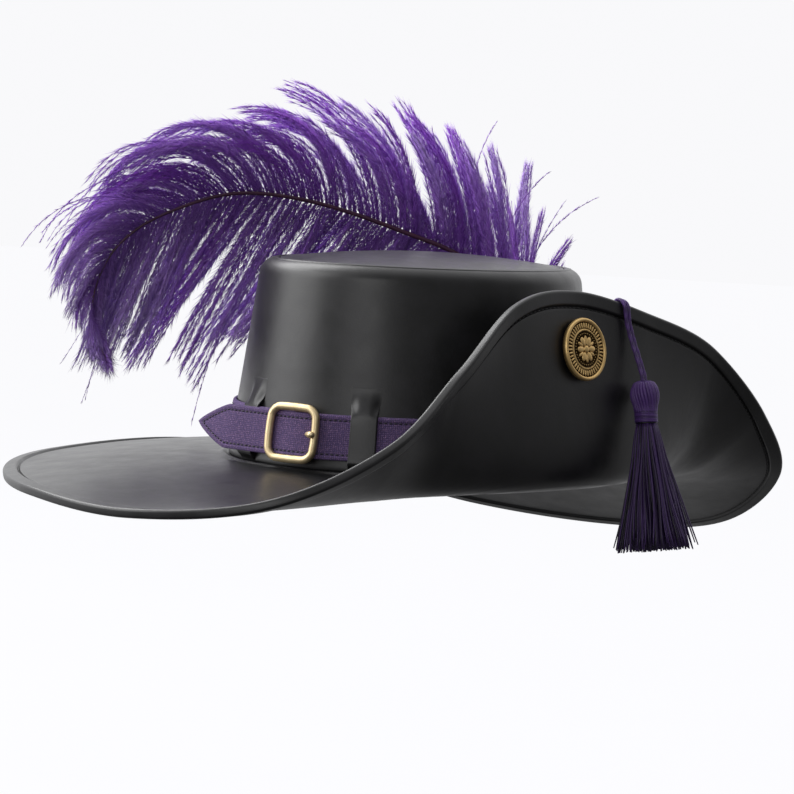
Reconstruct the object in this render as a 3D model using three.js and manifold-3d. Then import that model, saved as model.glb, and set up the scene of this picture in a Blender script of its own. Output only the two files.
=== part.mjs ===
// Cavalier hat of moulded black leather with its brim turned up on the wearer's left.
// Millimetres, +Z up. The origin is the centre of the head opening, in the plane where the
// crown stands on the brim. The wearer faces -Y, and the turned-up side is +X.
import * as THREE from 'three';
import { mergeVertices } from 'three/addons/utils/BufferGeometryUtils.js';
import Module from 'manifold-3d';

const wasm = await Module();
wasm.setup();

// Crown
const crownHalfWidth = 88;
const crownHalfLength = 108;
const crownHeight = 103;
const crownTaper = 13;
const crownWall = 2.8;
const crownEdgeRadius = 9;
const panelInset = 17;
const panelGroove = 1.6;
const panelDome = 3;
const crownFacets = 48;

// Brim
const brimWidth = 125;
const flapHeight = 96;
const backDroop = 53;
const brimWall = 2.6;
const hemWidth = 8.5;
const hemWall = 4.8;
const stitchGroove = 0.5;
const brimFacets = 56;
const brimSteps = 6;

// Clearance between pieces that lie on each other
const seat = 0.3;

// Hat strap and its keepers
const strapWidth = 22.5;
const strapWall = 1.6;
const strapLift = 6;
const strapStep = 6;
const strapEnd = 45;
const strapPoint = 14;
const keeperWidth = 13.5;
const keeperWall = 1.4;
const keeperSpread = 22.5;
const keeperFoot = 4;
const keeperHead = 7;

// Buckle
const buckleTurn = -82;
const buckleWidth = 34;
const buckleHeight = 32;
const buckleCorner = 8.5;
const buckleWire = 3.8;
const buckleBar = 2.6;
const prongWire = 2.4;

// Button
const buttonDiameter = 32;
const buttonRim = 2.6;
const buttonHeight = 4.6;
const buttonShank = 1.6;
const buttonDrop = 30;
const buttonRound = 0.9985;
const buttonRibs = 20;
const buttonPetals = 6;

// Cord and tassel
const cordDiameter = 2;
const cordPitch = 3.6;
const cordRound = 0.037;
const cordSlant = 0.0014;
const cordDrop = 38;
const cordTail = 22;
const anchorDiameter = 9;
const anchorWall = 1.6;
const tasselBall = 15;
const tasselNeck = 11;
const tasselNeckLength = 11;
const tasselLength = 86;
const tasselSpread = 41;
const tasselSwing = -4;
const tasselLocks = 12;

// Plume
const plumeTurn = 98;
const quillDiameter = 3.4;
const quillTip = 1.2;
const quillSeat = 2 * seat;
const barbLength = 95;
const lockWidth = 23;
const lockThickness = 6;
const lockPairs = 16;
const lockSway = 0.2;

// One row for each brim section, from the wearer's left round by the back. turn is the angle
// on the crown's base in degrees. The edge stands off the crown by shares of brimWidth, lifts
// by a share of flapHeight and droops by a share of backDroop. The bend between crown and edge
// lies out from the crown and below it by shares of brimWidth.
const brimRows = [
  { turn: 0, across: 0.11, along: -0.02, lift: 1.0, droop: 0, bendOut: 0.3, bendDown: 0.14 },
  { turn: 24, across: 0.23, along: 0.04, lift: 0.89, droop: 0, bendOut: 0.33, bendDown: 0.14 },
  { turn: 46, across: 0.42, along: 0.22, lift: 0.7, droop: 0, bendOut: 0.41, bendDown: 0.13 },
  { turn: 60, across: 0.54, along: 0.54, lift: 0.32, droop: 0, bendOut: 0.5, bendDown: 0.15 },
  { turn: 72, across: 0.51, along: 0.88, lift: 0, droop: 0.14, bendOut: 0.53, bendDown: 0.15 },
  { turn: 84, across: 0.21, along: 1.08, lift: 0, droop: 0.79, bendOut: 0.53, bendDown: 0.15 },
  { turn: 97, across: -0.23, along: 1.09, lift: 0, droop: 1.0, bendOut: 0.53, bendDown: 0.14 },
  { turn: 115, across: -0.67, along: 0.86, lift: 0, droop: 0.89, bendOut: 0.53, bendDown: 0.12 },
  { turn: 142, across: -0.93, along: 0.5, lift: 0, droop: 0.46, bendOut: 0.5, bendDown: 0.07 },
  { turn: 171, across: -0.98, along: 0.11, lift: 0, droop: 0.25, bendOut: 0.5, bendDown: 0.03 },
  { turn: 201, across: -0.91, along: -0.3, lift: 0, droop: 0.25, bendOut: 0.5, bendDown: 0.03 },
  { turn: 233, across: -0.71, along: -0.6, lift: 0, droop: 0.26, bendOut: 0.5, bendDown: 0.03 },
  { turn: 255, across: -0.34, along: -0.89, lift: 0, droop: 0.24, bendOut: 0.5, bendDown: 0.04 },
  { turn: 275, across: 0.08, along: -0.97, lift: 0, droop: 0.26, bendOut: 0.5, bendDown: 0.06 },
  { turn: 290, across: 0.42, along: -0.79, lift: 0, droop: 0.07, bendOut: 0.5, bendDown: 0.11 },
  { turn: 303, across: 0.51, along: -0.46, lift: 0.25, droop: 0, bendOut: 0.45, bendDown: 0.13 },
  { turn: 316, across: 0.37, along: -0.18, lift: 0.61, droop: 0, bendOut: 0.38, bendDown: 0.14 },
  { turn: 336, across: 0.18, along: -0.04, lift: 0.94, droop: 0, bendOut: 0.32, bendDown: 0.14 },
];
const bendTightness = 0.78;

// The plume's shaft above the hat, as shares of crownHalfWidth, crownHalfLength and crownHeight
const shaftRows = [
  { across: -0.28, along: 1.02, up: 0.66 },
  { across: -0.53, along: 0.89, up: 0.97 },
  { across: -0.83, along: 0.6, up: 1.13 },
  { across: -1.17, along: 0.17, up: 1.27 },
  { across: -1.35, along: -0.2, up: 1.29 },
  { across: -1.46, along: -0.51, up: 1.2 },
  { across: -1.49, along: -0.78, up: 1.08 },
  { across: -1.46, along: -0.99, up: 0.92 },
  { across: -1.4, along: -1.12, up: 0.68 },
  { across: -1.24, along: -1.12, up: 0.4 },
];

// Barb lengths along the plume, as shares of barbLength
const barbRows = [
  { at: 0, above: 0.5, below: 0.2 },
  { at: 0.12, above: 0.95, below: 0.3 },
  { at: 0.35, above: 1.0, below: 0.75 },
  { at: 0.5, above: 0.82, below: 1.0 },
  { at: 0.7, above: 0.62, below: 0.9 },
  { at: 0.88, above: 0.45, below: 0.5 },
  { at: 1, above: 0.3, below: 0.25 },
];

// The form of a lock of barbs: how far it reaches out from the shaft and on towards its tip, as
// shares of its length, and its width as a share of lockWidth
const lockRows = {
  above: [
    { out: 0, ahead: 0, wide: 0.5 }, { out: 0.3, ahead: 0.18, wide: 1 },
    { out: 0.52, ahead: 0.48, wide: 0.9 }, { out: 0.6, ahead: 0.8, wide: 0.1 },
  ],
  below: [
    { out: 0, ahead: 0, wide: 0.5 }, { out: 0.35, ahead: 0.16, wide: 1 },
    { out: 0.65, ahead: 0.35, wide: 0.9 }, { out: 0.88, ahead: 0.52, wide: 0.1 },
  ],
};

// Stand-off of the strap from the crown near the buckle: past is millimetres past the buckle's
// middle, off is in strap thicknesses above the one that lies on the crown
const strapRows = [
  { past: -27, off: 0 },
  { past: -20, off: 0.7 },
  { past: -15, off: 1.25 },
  { past: 0, off: 2.05 },
  { past: 15, off: 1.35 },
  { past: 28, off: 2.9 },
  { past: 46, off: 7.4 },
  { past: 62, off: 11.5 },
];

const rad = THREE.MathUtils.degToRad;
const vec = (x, y, z) => new THREE.Vector3(x, y, z);

const finishes = {
  leather: new THREE.MeshStandardMaterial({ color: 0x26262a, roughness: 0.42, metalness: 0 }),
  strap: new THREE.MeshStandardMaterial({ color: 0x4b3378, roughness: 0.8, metalness: 0 }),
  brass: new THREE.MeshStandardMaterial({ color: 0xcdae78, roughness: 0.3, metalness: 1 }),
  oldBrass: new THREE.MeshStandardMaterial({ color: 0x9a7236, roughness: 0.4, metalness: 1 }),
  cord: new THREE.MeshStandardMaterial({ color: 0x2a1a48, roughness: 0.6, metalness: 0 }),
  feather: new THREE.MeshStandardMaterial({ color: 0x4a2490, roughness: 0.85, metalness: 0 }),
};

// A closed surface over rings of points. loop joins the last ring to the first; otherwise each
// end is closed by a fan round its middle.
function skin(rings, loop = false) {
  const around = rings[0].length;
  const positions = rings.flat().flatMap((p) => [p.x, p.y, p.z]);
  const index = [];
  const last = loop ? rings.length : rings.length - 1;
  for (let i = 0; i < last; i += 1) {
    for (let j = 0; j < around; j += 1) {
      const a = i * around + j;
      const b = i * around + ((j + 1) % around);
      const c = ((i + 1) % rings.length) * around + j;
      const d = ((i + 1) % rings.length) * around + ((j + 1) % around);
      index.push(a, b, d, a, d, c);
    }
  }
  if (!loop) {
    for (const [ring, first, turned] of [[rings[0], 0, true], [rings.at(-1), last * around, false]]) {
      const middle = ring.reduce((sum, p) => sum.add(p), vec(0, 0, 0)).divideScalar(around);
      const hub = positions.length / 3;
      positions.push(middle.x, middle.y, middle.z);
      for (let j = 0; j < around; j += 1) {
        const edge = [first + j, first + ((j + 1) % around)];
        index.push(hub, ...(turned ? edge.reverse() : edge));
      }
    }
  }
  return outward(positions, index);
}

// Turns a surface that is inside out
function outward(positions, index) {
  let volume = 0;
  for (let i = 0; i < index.length; i += 3) {
    const [a, b, c] = index.slice(i, i + 3).map((k) => vec(...positions.slice(3 * k, 3 * k + 3)));
    volume += a.dot(b.cross(c));
  }
  const geometry = new THREE.BufferGeometry();
  geometry.setAttribute('position', new THREE.Float32BufferAttribute(positions, 3));
  geometry.setIndex(volume < 0 ? index.reverse() : index);
  return geometry;
}

function solid(geometry) {
  const bare = geometry.clone();
  bare.deleteAttribute('normal');
  bare.deleteAttribute('uv');
  const merged = mergeVertices(bare, 1e-4);
  return new wasm.Manifold(new wasm.Mesh({
    numProp: 3,
    vertProperties: new Float32Array(merged.attributes.position.array),
    triVerts: new Uint32Array(merged.index.array),
  }));
}

function surface(body) {
  const mesh = body.getMesh();
  const geometry = new THREE.BufferGeometry();
  geometry.setAttribute('position', new THREE.BufferAttribute(mesh.vertProperties, 3));
  geometry.setIndex(new THREE.BufferAttribute(mesh.triVerts, 1));
  return geometry;
}

function fuse(geometries) {
  return surface(geometries.map(solid).reduce((sum, piece) => sum.add(piece)));
}

function piece(name, geometry, material) {
  const mesh = new THREE.Mesh(geometry, material);
  mesh.name = name;
  return mesh;
}

// A frame on a surface: x is right, y is up and z is outward from the surface
function place(mesh, point, outwardWay) {
  const right = vec(0, 0, 1).cross(outwardWay).normalize();
  const up = outwardWay.clone().cross(right);
  mesh.position.copy(point);
  mesh.quaternion.setFromRotationMatrix(new THREE.Matrix4().makeBasis(right, up, outwardWay));
  return mesh;
}

// A point on an ellipse inset from the crown's base
function oval(turn, inset, z) {
  const angle = rad(turn);
  return vec((crownHalfWidth - inset) * Math.cos(angle), (crownHalfLength - inset) * Math.sin(angle), z);
}

function ovalNormal(turn) {
  const angle = rad(turn);
  return vec(Math.cos(angle) / crownHalfWidth, Math.sin(angle) / crownHalfLength, 0).normalize();
}

const wallSlope = crownTaper / crownHeight;

// A point off the crown's side wall
function wallPoint(turn, z, off) {
  return oval(turn, z * wallSlope, z).addScaledVector(ovalNormal(turn), off);
}

// Degrees on the crown's base that cover a length at a turn
function turnFor(length, turn) {
  const step = oval(turn + 0.5, 0, 0).distanceTo(oval(turn - 0.5, 0, 0));
  return length / step;
}

// Linear value from a table
function read(rows, key, at, column) {
  const next = rows.findIndex((row) => row[key] >= at);
  if (next < 0) return rows.at(-1)[column];
  if (next === 0) return rows[0][column];
  const [a, b] = [rows[next - 1], rows[next]];
  return THREE.MathUtils.mapLinear(at, a[key], b[key], a[column], b[column]);
}

// Crown: side wall, rounded top edge, stitched groove and a low domed top panel
function crownGeometry() {
  const turns = Array.from({ length: crownFacets }, (_, i) => (360 * i) / crownFacets);
  const ring = (inset, z, share = 1) => turns.map((turn) => {
    const p = oval(turn, inset, z);
    return vec(p.x * share, p.y * share, z);
  });
  const shoulder = crownHeight - crownEdgeRadius;
  const outer = [0.003, 0.3, 0.6].map((share) => ring(shoulder * share * wallSlope, shoulder * share));
  for (let step = 0; step <= 4; step += 1) {
    const bend = rad(22.5 * step);
    const inset = shoulder * wallSlope + crownEdgeRadius * (1 - Math.cos(bend));
    outer.push(ring(inset, shoulder + crownEdgeRadius * Math.sin(bend)));
  }
  const rimZ = crownHeight - panelGroove;
  outer.push(ring(panelInset + crownEdgeRadius * 0.5, rimZ));
  outer.push(ring(panelInset + crownEdgeRadius * 0.7, crownHeight));
  for (const share of [0.6, 0.1]) {
    const z = crownHeight + panelDome * (1 - share * share);
    outer.push(ring(panelInset + crownEdgeRadius * 0.7, z, share));
  }
  const inside = crownHeight - crownWall - panelGroove;
  const inner = [0.05, 0.6].map((share) => ring(panelInset + crownEdgeRadius * 0.5, inside, share));
  inner.push(ring(panelInset, inside));
  inner.push(ring(shoulder * wallSlope + crownWall * 1.6, shoulder));
  inner.push(ring(shoulder * 0.5 * wallSlope + crownWall, shoulder * 0.5));
  inner.push(ring(crownWall, shoulder * 0.003));
  return skin([...inner, ...outer]);
}

// Brim: curves through the table's rows, each a closed curve round the hat
const rowCurve = (point) => new THREE.CatmullRomCurve3(brimRows.map(point), true, 'catmullrom', 0.5);
const rowTurn = 360 / brimRows.length;
const edgeCurve = rowCurve((row) => vec(
  row.across * brimWidth,
  row.along * brimWidth,
  row.lift * flapHeight - row.droop * backDroop,
));
const bendCurve = rowCurve((row, i) => vec(row.turn - i * rowTurn, row.bendOut, row.bendDown));

// The section of the brim at a share of the way round, from the crown to the edge
function brimSection(round) {
  const share = (round + 2) % 1;
  const bend = bendCurve.getPoint(share);
  const turn = bend.x + share * 360;
  const root = oval(turn, 0, -brimWall / 2);
  const edge = root.clone().add(edgeCurve.getPoint(share));
  const corner = root.clone().addScaledVector(ovalNormal(turn), bend.y * brimWidth);
  corner.z -= bend.z * brimWidth;
  const curve = new THREE.CubicBezierCurve3(
    root,
    root.clone().lerp(corner, bendTightness),
    edge.clone().lerp(corner, bendTightness),
    edge,
  );
  return { curve, turn, length: curve.getLength() };
}

// The middle of the leather and the way its upper face looks, a distance in from the edge
function brimFace(round, fromEdge) {
  const onSection = (facet, inward) => {
    const { curve, length } = brimSection(facet / brimFacets);
    return curve.getPointAt(THREE.MathUtils.clamp(1 - inward / length, 0, 1));
  };
  const at = (share, inward) => {
    const facet = Math.floor(share * brimFacets + 1e-6);
    return onSection(facet, inward).lerp(onSection(facet + 1, inward), share * brimFacets - facet);
  };
  const nudge = 0.002;
  const along = at(round + nudge, fromEdge).sub(at(round - nudge, fromEdge));
  const out = at(round, Math.max(fromEdge - 1, 0)).sub(at(round, fromEdge + 1));
  return { middle: at(round, fromEdge), upper: out.clone().cross(along).normalize(), out: out.normalize() };
}

const edgeLength = new THREE.CatmullRomCurve3(
  Array.from({ length: 40 }, (_, i) => brimSection(i / 40).curve.v3), true,
).getLength();

function brimGeometry() {
  const hemRows = [
    { fromEdge: hemWidth + 1.2, half: brimWall / 2 },
    { fromEdge: hemWidth, half: brimWall / 2 - stitchGroove },
    { fromEdge: hemWidth - 1.2, half: hemWall / 2 },
    { fromEdge: hemWall / 2, half: hemWall / 2 },
    { fromEdge: hemWall / 8, half: hemWall / 3 },
  ];
  const rings = Array.from({ length: brimFacets }, (_, i) => {
    const round = i / brimFacets;
    const { turn, length } = brimSection(round);
    const flat = length - hemWidth - 1.2;
    const plain = Array.from({ length: brimSteps }, (_unused, step) => (
      { fromEdge: length - (flat * step) / brimSteps, half: brimWall / 2 }
    ));
    const stations = [...plain, ...hemRows].map(({ fromEdge, half }) => {
      const { middle, upper } = brimFace(round, fromEdge);
      return { middle, way: fromEdge === length ? vec(0, 0, 1) : upper, half };
    });
    const ledge = oval(turn, crownWall, -brimWall / 2);
    stations.unshift({ middle: ledge, way: vec(0, 0, 1), half: brimWall / 2 });
    const top = stations.map(({ middle, way, half }) => middle.clone().addScaledVector(way, half));
    const below = stations.map(({ middle, way, half }) => middle.clone().addScaledVector(way, -half));
    return [...top, brimFace(round, 0).middle, ...below.reverse()];
  });
  return skin(rings, true);
}

// How far the plume's quill lifts the strap off the crown
function quillLift(turn) {
  const away = Math.abs(((turn - plumeTurn) % 360 + 540) % 360 - 180);
  return (quillDiameter + 2 * quillSeat) * (1 - THREE.MathUtils.smoothstep(away, strapStep, 3 * strapStep));
}

// Strap: lies on the crown from the buckle's middle bar right round, then over itself
function strapGeometry() {
  const startTurn = buckleTurn - turnFor(buckleBar / 2 + seat, buckleTurn);
  const stations = [];
  for (let turn = startTurn; turn > buckleTurn - 360 + 30; turn -= strapStep) stations.push({ turn, off: 0 });
  const tip = buckleWidth / 2 + strapEnd;
  for (let past = -45; past <= tip; past += 4) {
    stations.push({ turn: buckleTurn - 360 - turnFor(past, buckleTurn), past });
  }
  stations.push({ turn: buckleTurn - 360 - turnFor(tip, buckleTurn), past: tip });
  const middle = strapLift + strapWidth / 2;
  return skin(stations.map(({ turn, past = -45 }) => {
    const off = seat + strapWall * read(strapRows, 'past', past, 'off') + quillLift(turn);
    const taper = THREE.MathUtils.clamp((tip - past) / strapPoint, 0.06, 1);
    const half = (strapWidth / 2) * taper;
    return [
      wallPoint(turn, middle - half, off), wallPoint(turn, middle + half, off),
      wallPoint(turn, middle + half, off + strapWall), wallPoint(turn, middle - half, off + strapWall),
    ];
  }));
}

// Keeper: a leather strip that holds the strap to the crown
function keeperGeometry(turn) {
  const top = strapLift + strapWidth;
  const held = seat * 2 + strapWall;
  const rows = [
    { z: strapLift - keeperFoot, off: seat },
    { z: strapLift - 1.5, off: seat + 0.25 * held },
    { z: strapLift - 0.5, off: held },
    { z: strapLift + strapWidth / 2, off: held + 0.4 },
    { z: top + 0.5, off: held },
    { z: top + keeperHead * 0.4, off: seat + 0.3 * held },
    { z: top + keeperHead, off: seat },
  ];
  const span = turnFor(keeperWidth, turn);
  const turns = [-0.5, -0.17, 0.17, 0.5].map((share) => turn + share * span);
  return skin(rows.map(({ z, off }) => [
    ...turns.map((at) => wallPoint(at, z, off)),
    ...turns.toReversed().map((at) => wallPoint(at, z, off + keeperWall)),
  ]));
}

// A bar of round section through points, with a radius for each
function bar(points, radii, sides, loop = false) {
  const rings = points.map((point, i) => {
    const before = loop ? points.at(i - 1) : points[Math.max(i - 1, 0)];
    const after = loop ? points[(i + 1) % points.length] : points[Math.min(i + 1, points.length - 1)];
    const way = after.clone().sub(before).normalize();
    const side = vec(0, 0, 1).cross(way);
    if (side.length() < 0.1) side.set(1, 0, 0);
    side.normalize();
    const up = way.clone().cross(side).normalize();
    return Array.from({ length: sides }, (_, j) => {
      const angle = (2 * Math.PI * j) / sides;
      return point.clone()
        .addScaledVector(side, radii[i] * Math.cos(angle))
        .addScaledVector(up, radii[i] * Math.sin(angle));
    });
  });
  return skin(rings, loop);
}

// How far the buckle's frame stands off the crown at its middle
const frameDrop = (buckleWidth / 2) ** 2 / (2 * (crownHalfWidth ** 2 / crownHalfLength));
const frameOff = seat * 3 + strapWall * 2.35 + buckleWire / 2 - frameDrop * 0.8;
const barOff = seat + buckleBar / 2;

// Buckle: a rounded frame of round wire with a middle bar set back behind the strap
function buckleGeometry() {
  const [halfX, halfY] = [(buckleWidth - buckleWire) / 2, (buckleHeight - buckleWire) / 2];
  const round = buckleCorner - buckleWire / 2;
  const path = new THREE.Path();
  const corners = [[1, 1, 0], [-1, 1, 90], [-1, -1, 180], [1, -1, 270]];
  for (const [x, y, start] of corners) {
    path.absarc(x * (halfX - round), y * (halfY - round), round, rad(start), rad(start + 90));
  }
  const outline = path.getPoints(4).slice(0, -1).filter((p, i, all) => p.distanceTo(all.at(i - 1)) > 0.01);
  const frame = bar(
    outline.map((p) => vec(p.x, p.y, 0)), outline.map(() => buckleWire / 2), 8, true,
  );
  const back = barOff - frameOff;
  const post = [vec(0, halfY, 0), vec(0, halfY - 0.4, back), vec(0, -halfY + 0.4, back), vec(0, -halfY, 0)];
  return fuse([frame, bar(post, post.map(() => buckleBar / 2), 8)]);
}

// Prong: comes through the strap beside the frame and rests on the frame's side bar
function prongGeometry() {
  const side = (buckleWidth - buckleWire) / 2;
  const over = buckleWire / 2 + prongWire / 2 + seat;
  const inside = side - buckleWire / 2 - prongWire;
  const points = [
    vec(inside - 1.5, 0, -buckleWire * 0.12), vec(inside + 0.5, 0, over * 0.62),
    vec(side - 0.8, 0, over), vec(side + 0.9, 0, over - 0.1),
  ];
  const radii = [0.42, 0.5, 0.54, 0.4].map((share) => share * prongWire);
  return bar(points, radii, 8);
}

// Button: domed face with a raised rim, a ring of ribs and a petalled rosette, on a flanged shank
function buttonGeometry() {
  const radius = buttonDiameter / 2;
  const back = 1.1;
  const under = -brimWall - seat;
  const profile = [
    [0, under - 1.2], [5, under - 1.2], [5, under], [buttonShank, under], [buttonShank, seat],
    [radius * 0.4, seat], [radius * 0.5, back], [radius - 0.8, back], [radius, back + 1],
    [radius - 0.4, back + buttonHeight * 0.6], [radius - buttonRim / 2, back + buttonHeight * 0.72],
    [radius - buttonRim, back + buttonHeight * 0.5], [radius * 0.62, back + buttonHeight * 0.62],
    [radius * 0.3, back + buttonHeight * 0.74], [0, back + buttonHeight * 0.78],
  ].map(([x, y]) => new THREE.Vector2(x, y));
  const pieces = [new THREE.LatheGeometry(profile, 24).rotateX(Math.PI / 2)];
  const ribLength = radius - buttonRim - radius * 0.66;
  for (let i = 0; i < buttonRibs; i += 1) {
    const rib = new THREE.BoxGeometry(ribLength, 1.1, 1.1);
    rib.translate(radius * 0.68 + ribLength / 2, 0, back + buttonHeight * 0.56);
    pieces.push(rib.rotateZ((2 * Math.PI * i) / buttonRibs));
  }
  const outline = [];
  for (let i = 0; i < 2 * buttonPetals; i += 1) {
    const angle = (Math.PI * i) / buttonPetals;
    const reach = radius * (i % 2 ? 0.25 : 0.45);
    outline.push(new THREE.Vector2(reach * Math.cos(angle), reach * Math.sin(angle)));
  }
  const rosette = new THREE.ExtrudeGeometry(new THREE.Shape(outline), { depth: 1.2, bevelEnabled: false });
  pieces.push(rosette.translate(0, 0, back + buttonHeight * 0.62));
  return fuse(pieces);
}

// The button's place on the outer face of the turned-up brim
const buttonSeat = brimFace(buttonRound, buttonDrop);
const buttonWay = buttonSeat.upper.clone().negate();
const buttonPoint = buttonSeat.middle.clone().addScaledVector(buttonWay, brimWall / 2);

function boredBrim() {
  const drill = new THREE.CylinderGeometry(buttonShank + seat, buttonShank + seat, 4 * brimWall, 12);
  const turn = new THREE.Quaternion().setFromUnitVectors(vec(0, 1, 0), buttonWay);
  drill.applyQuaternion(turn).translate(...buttonSeat.middle);
  return surface(solid(brimGeometry()).subtract(solid(drill)));
}

// Cord route: from the anchor on the inner face round the hem and down the outer face. slant is
// the share of cordSlant that the cord has moved back by.
function cordRoute(beside) {
  const off = cordDiameter / 2 + seat;
  const lane = (slant) => cordRound + cordSlant * slant + (beside * cordPitch) / 2 / edgeLength;
  const onFace = (fromEdge, face, wall, slant, stand = off) => {
    const { middle, upper } = brimFace(lane(slant), fromEdge);
    return middle.addScaledVector(upper, face * (wall / 2 + stand));
  };
  const overHem = [90, 45, 0, -45, -90].map((angle) => {
    const { middle, upper, out } = brimFace(lane(0), hemWall / 2);
    return middle
      .addScaledVector(upper, (hemWall / 2 + off + seat) * Math.sin(rad(angle)))
      .addScaledVector(out, (hemWall / 2 + off + seat) * Math.cos(rad(angle)));
  });
  return [
    onFace(cordTail - seat, 1, brimWall, -0.2), onFace(hemWidth + 3, 1, hemWall, -0.1), ...overHem,
    onFace(hemWidth + 1, -1, hemWall, 0.15), onFace(cordDrop * 0.5, -1, brimWall, 0.5, off + 0.6),
    onFace(cordDrop * 0.75, -1, brimWall, 0.75, tasselBall * 0.3),
    onFace(cordDrop, -1, brimWall, 1, tasselBall / 2 + 3 * seat),
  ];
}

function cordGeometry(beside) {
  const circle = new THREE.Shape();
  circle.absarc(0, 0, cordDiameter / 2, 0, 2 * Math.PI);
  const steps = 26;
  const path = new THREE.CatmullRomCurve3(cordRoute(beside), false, 'centripetal');
  return new THREE.ExtrudeGeometry(circle, { curveSegments: 4, steps, bevelEnabled: false, extrudePath: path });
}

function headTop() {
  const [a, b] = [cordRoute(-1).at(-1), cordRoute(1).at(-1)];
  return a.add(b).divideScalar(2);
}

// The tassel hangs from the cords with its skirt against the turned-up face
const hangTop = headTop();
const faceBeside = brimFace(cordRound + cordSlant, flapHeight * 0.6).middle.x + 1.4 * brimWall;
const hangWay = vec(
  faceBeside + seat + tasselSpread / 2 - hangTop.x, tasselSwing, -tasselLength,
).normalize();

// Tassel: a knotted ball, a bound neck and a skirt of locks
function tasselGeometry() {
  const ball = tasselBall / 2;
  const neck = tasselNeck / 2;
  const neckEnd = tasselBall * 0.85 + tasselNeckLength;
  const profile = [
    [0, 0], [ball * 0.5, 0.8], [ball * 0.9, ball * 0.5], [ball, ball], [ball * 0.85, ball * 1.5],
    [neck, tasselBall * 0.9], [neck, neckEnd - 2], [neck * 0.85, neckEnd - 1], [neck * 1.15, neckEnd],
    [neck * 1.4, neckEnd + 8], [neck, neckEnd + 30], [0, neckEnd + 30],
  ].map(([x, y]) => new THREE.Vector2(x, -y)).reverse();
  const pieces = [new THREE.LatheGeometry(profile, 12).rotateX(Math.PI / 2)];
  for (let i = 0; i < tasselLocks; i += 1) {
    const angle = (2 * Math.PI * i) / tasselLocks;
    const [wide, deep] = [Math.cos(angle), Math.sin(angle)];
    const rows = [
      { down: 0, out: 0.12, thick: 0.4 }, { down: 0.25, out: 0.33, thick: 0.75 },
      { down: 0.6, out: 0.5, thick: 1.0 }, { down: 1, out: 0.7, thick: 1.3 },
    ];
    const drop = tasselLength - neckEnd - 1 - 1.5 * (i % 3);
    const points = rows.map(({ down, out }) => vec(
      (wide * out * tasselSpread) / 2, (deep * out * tasselSpread) / 2, -(neckEnd - 0.5 + down * drop),
    ));
    pieces.push(bar(points, rows.map(({ thick }) => thick * tasselSpread * 0.12), 5));
  }
  return fuse(pieces);
}

function hungTassel() {
  const mesh = piece('tassel', tasselGeometry(), finishes.cord);
  const up = hangWay.clone().negate();
  const deep = vec(1, 0, 0).addScaledVector(up, -up.x).normalize();
  const wide = deep.clone().cross(up).normalize();
  mesh.position.copy(hangTop).addScaledVector(hangWay, 3 * seat);
  mesh.quaternion.setFromRotationMatrix(new THREE.Matrix4().makeBasis(wide, deep, up));
  return mesh;
}

// Plume: the shaft from behind the strap at the back over the crown's right side and down at the front
const shaft = new THREE.CatmullRomCurve3([
  wallPoint(plumeTurn, strapLift - 2, quillSeat + quillDiameter / 2),
  wallPoint(plumeTurn, strapLift + strapWidth + 3, quillSeat + quillDiameter / 2),
  ...shaftRows.map(({ across, along, up }) => (
    vec(across * crownHalfWidth, along * crownHalfLength, up * crownHeight))),
], false, 'centripetal');
const vaneStart = 0.17;

function plumeGeometry() {
  const steps = 22;
  const points = shaft.getSpacedPoints(steps);
  const radii = points.map((_, i) => THREE.MathUtils.lerp(quillDiameter, quillTip, i / steps) / 2);
  const pieces = [bar(points, radii, 6)];
  for (let i = 0; i < lockPairs; i += 1) {
    const share = (i + 0.5) / lockPairs;
    const at = THREE.MathUtils.lerp(vaneStart, 0.99, share);
    const root = shaft.getPointAt(at);
    const ahead = shaft.getTangentAt(at);
    const away = vec(ahead.y, -ahead.x, 0).normalize();
    const above = ahead.clone().cross(away).normalize();
    if (above.z < 0) above.negate();
    for (const [side, way] of [['above', 1], ['below', -1]]) {
      const out = above.clone().addScaledVector(away, (i % 2 ? 1 : -1) * lockSway).normalize();
      const length = barbLength * read(barbRows, 'at', share, side);
      pieces.push(lockGeometry(root, ahead, out.multiplyScalar(way), length, lockRows[side]));
    }
  }
  return fuse(pieces);
}

// A flat pointed lock of barbs that leaves the shaft at a slant and curls on towards its end
function lockGeometry(root, ahead, aside, length, rows) {
  const across = ahead.clone().cross(aside).normalize();
  const points = rows.map((row) => (
    root.clone().addScaledVector(aside, row.out * length).addScaledVector(ahead, row.ahead * length)));
  return skin(points.map((point, i) => {
    const way = points[Math.min(i + 1, 3)].clone().sub(points[Math.max(i - 1, 0)]).normalize();
    const flat = across.clone().cross(way).normalize();
    const half = (rows[i].wide * lockWidth) / 2;
    const thick = (rows[i].wide * lockThickness) / 2;
    return Array.from({ length: 4 }, (_, j) => {
      const angle = (Math.PI * j) / 2;
      return point.clone()
        .addScaledVector(flat, half * Math.cos(angle))
        .addScaledVector(across, thick * Math.sin(angle));
    });
  }));
}

// A disc of leather sewn to the inner face, where the cords begin
function anchorMesh() {
  const { middle, upper } = brimFace(cordRound - 0.3 * cordSlant, cordTail + anchorDiameter / 2 + seat);
  const disc = new THREE.CylinderGeometry(anchorDiameter / 2, anchorDiameter / 2 - 0.3, anchorWall, 16);
  disc.rotateX(Math.PI / 2);
  const point = middle.addScaledVector(upper, brimWall / 2 + seat + anchorWall / 2);
  return place(piece('cord_anchor', disc, finishes.leather), point, upper);
}

const hat = new THREE.Group();
hat.add(piece('crown', crownGeometry(), finishes.leather));
hat.add(piece('brim', boredBrim(), finishes.leather));
hat.add(piece('hat_strap', strapGeometry(), finishes.strap));

const keepers = {
  keeper_front_left: buckleTurn + keeperSpread,
  keeper_front_right: buckleTurn - keeperSpread,
  keeper_back: plumeTurn + keeperSpread + 3 * strapStep,
};
for (const [name, turn] of Object.entries(keepers)) {
  hat.add(piece(name, keeperGeometry(turn), finishes.leather));
}

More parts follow.
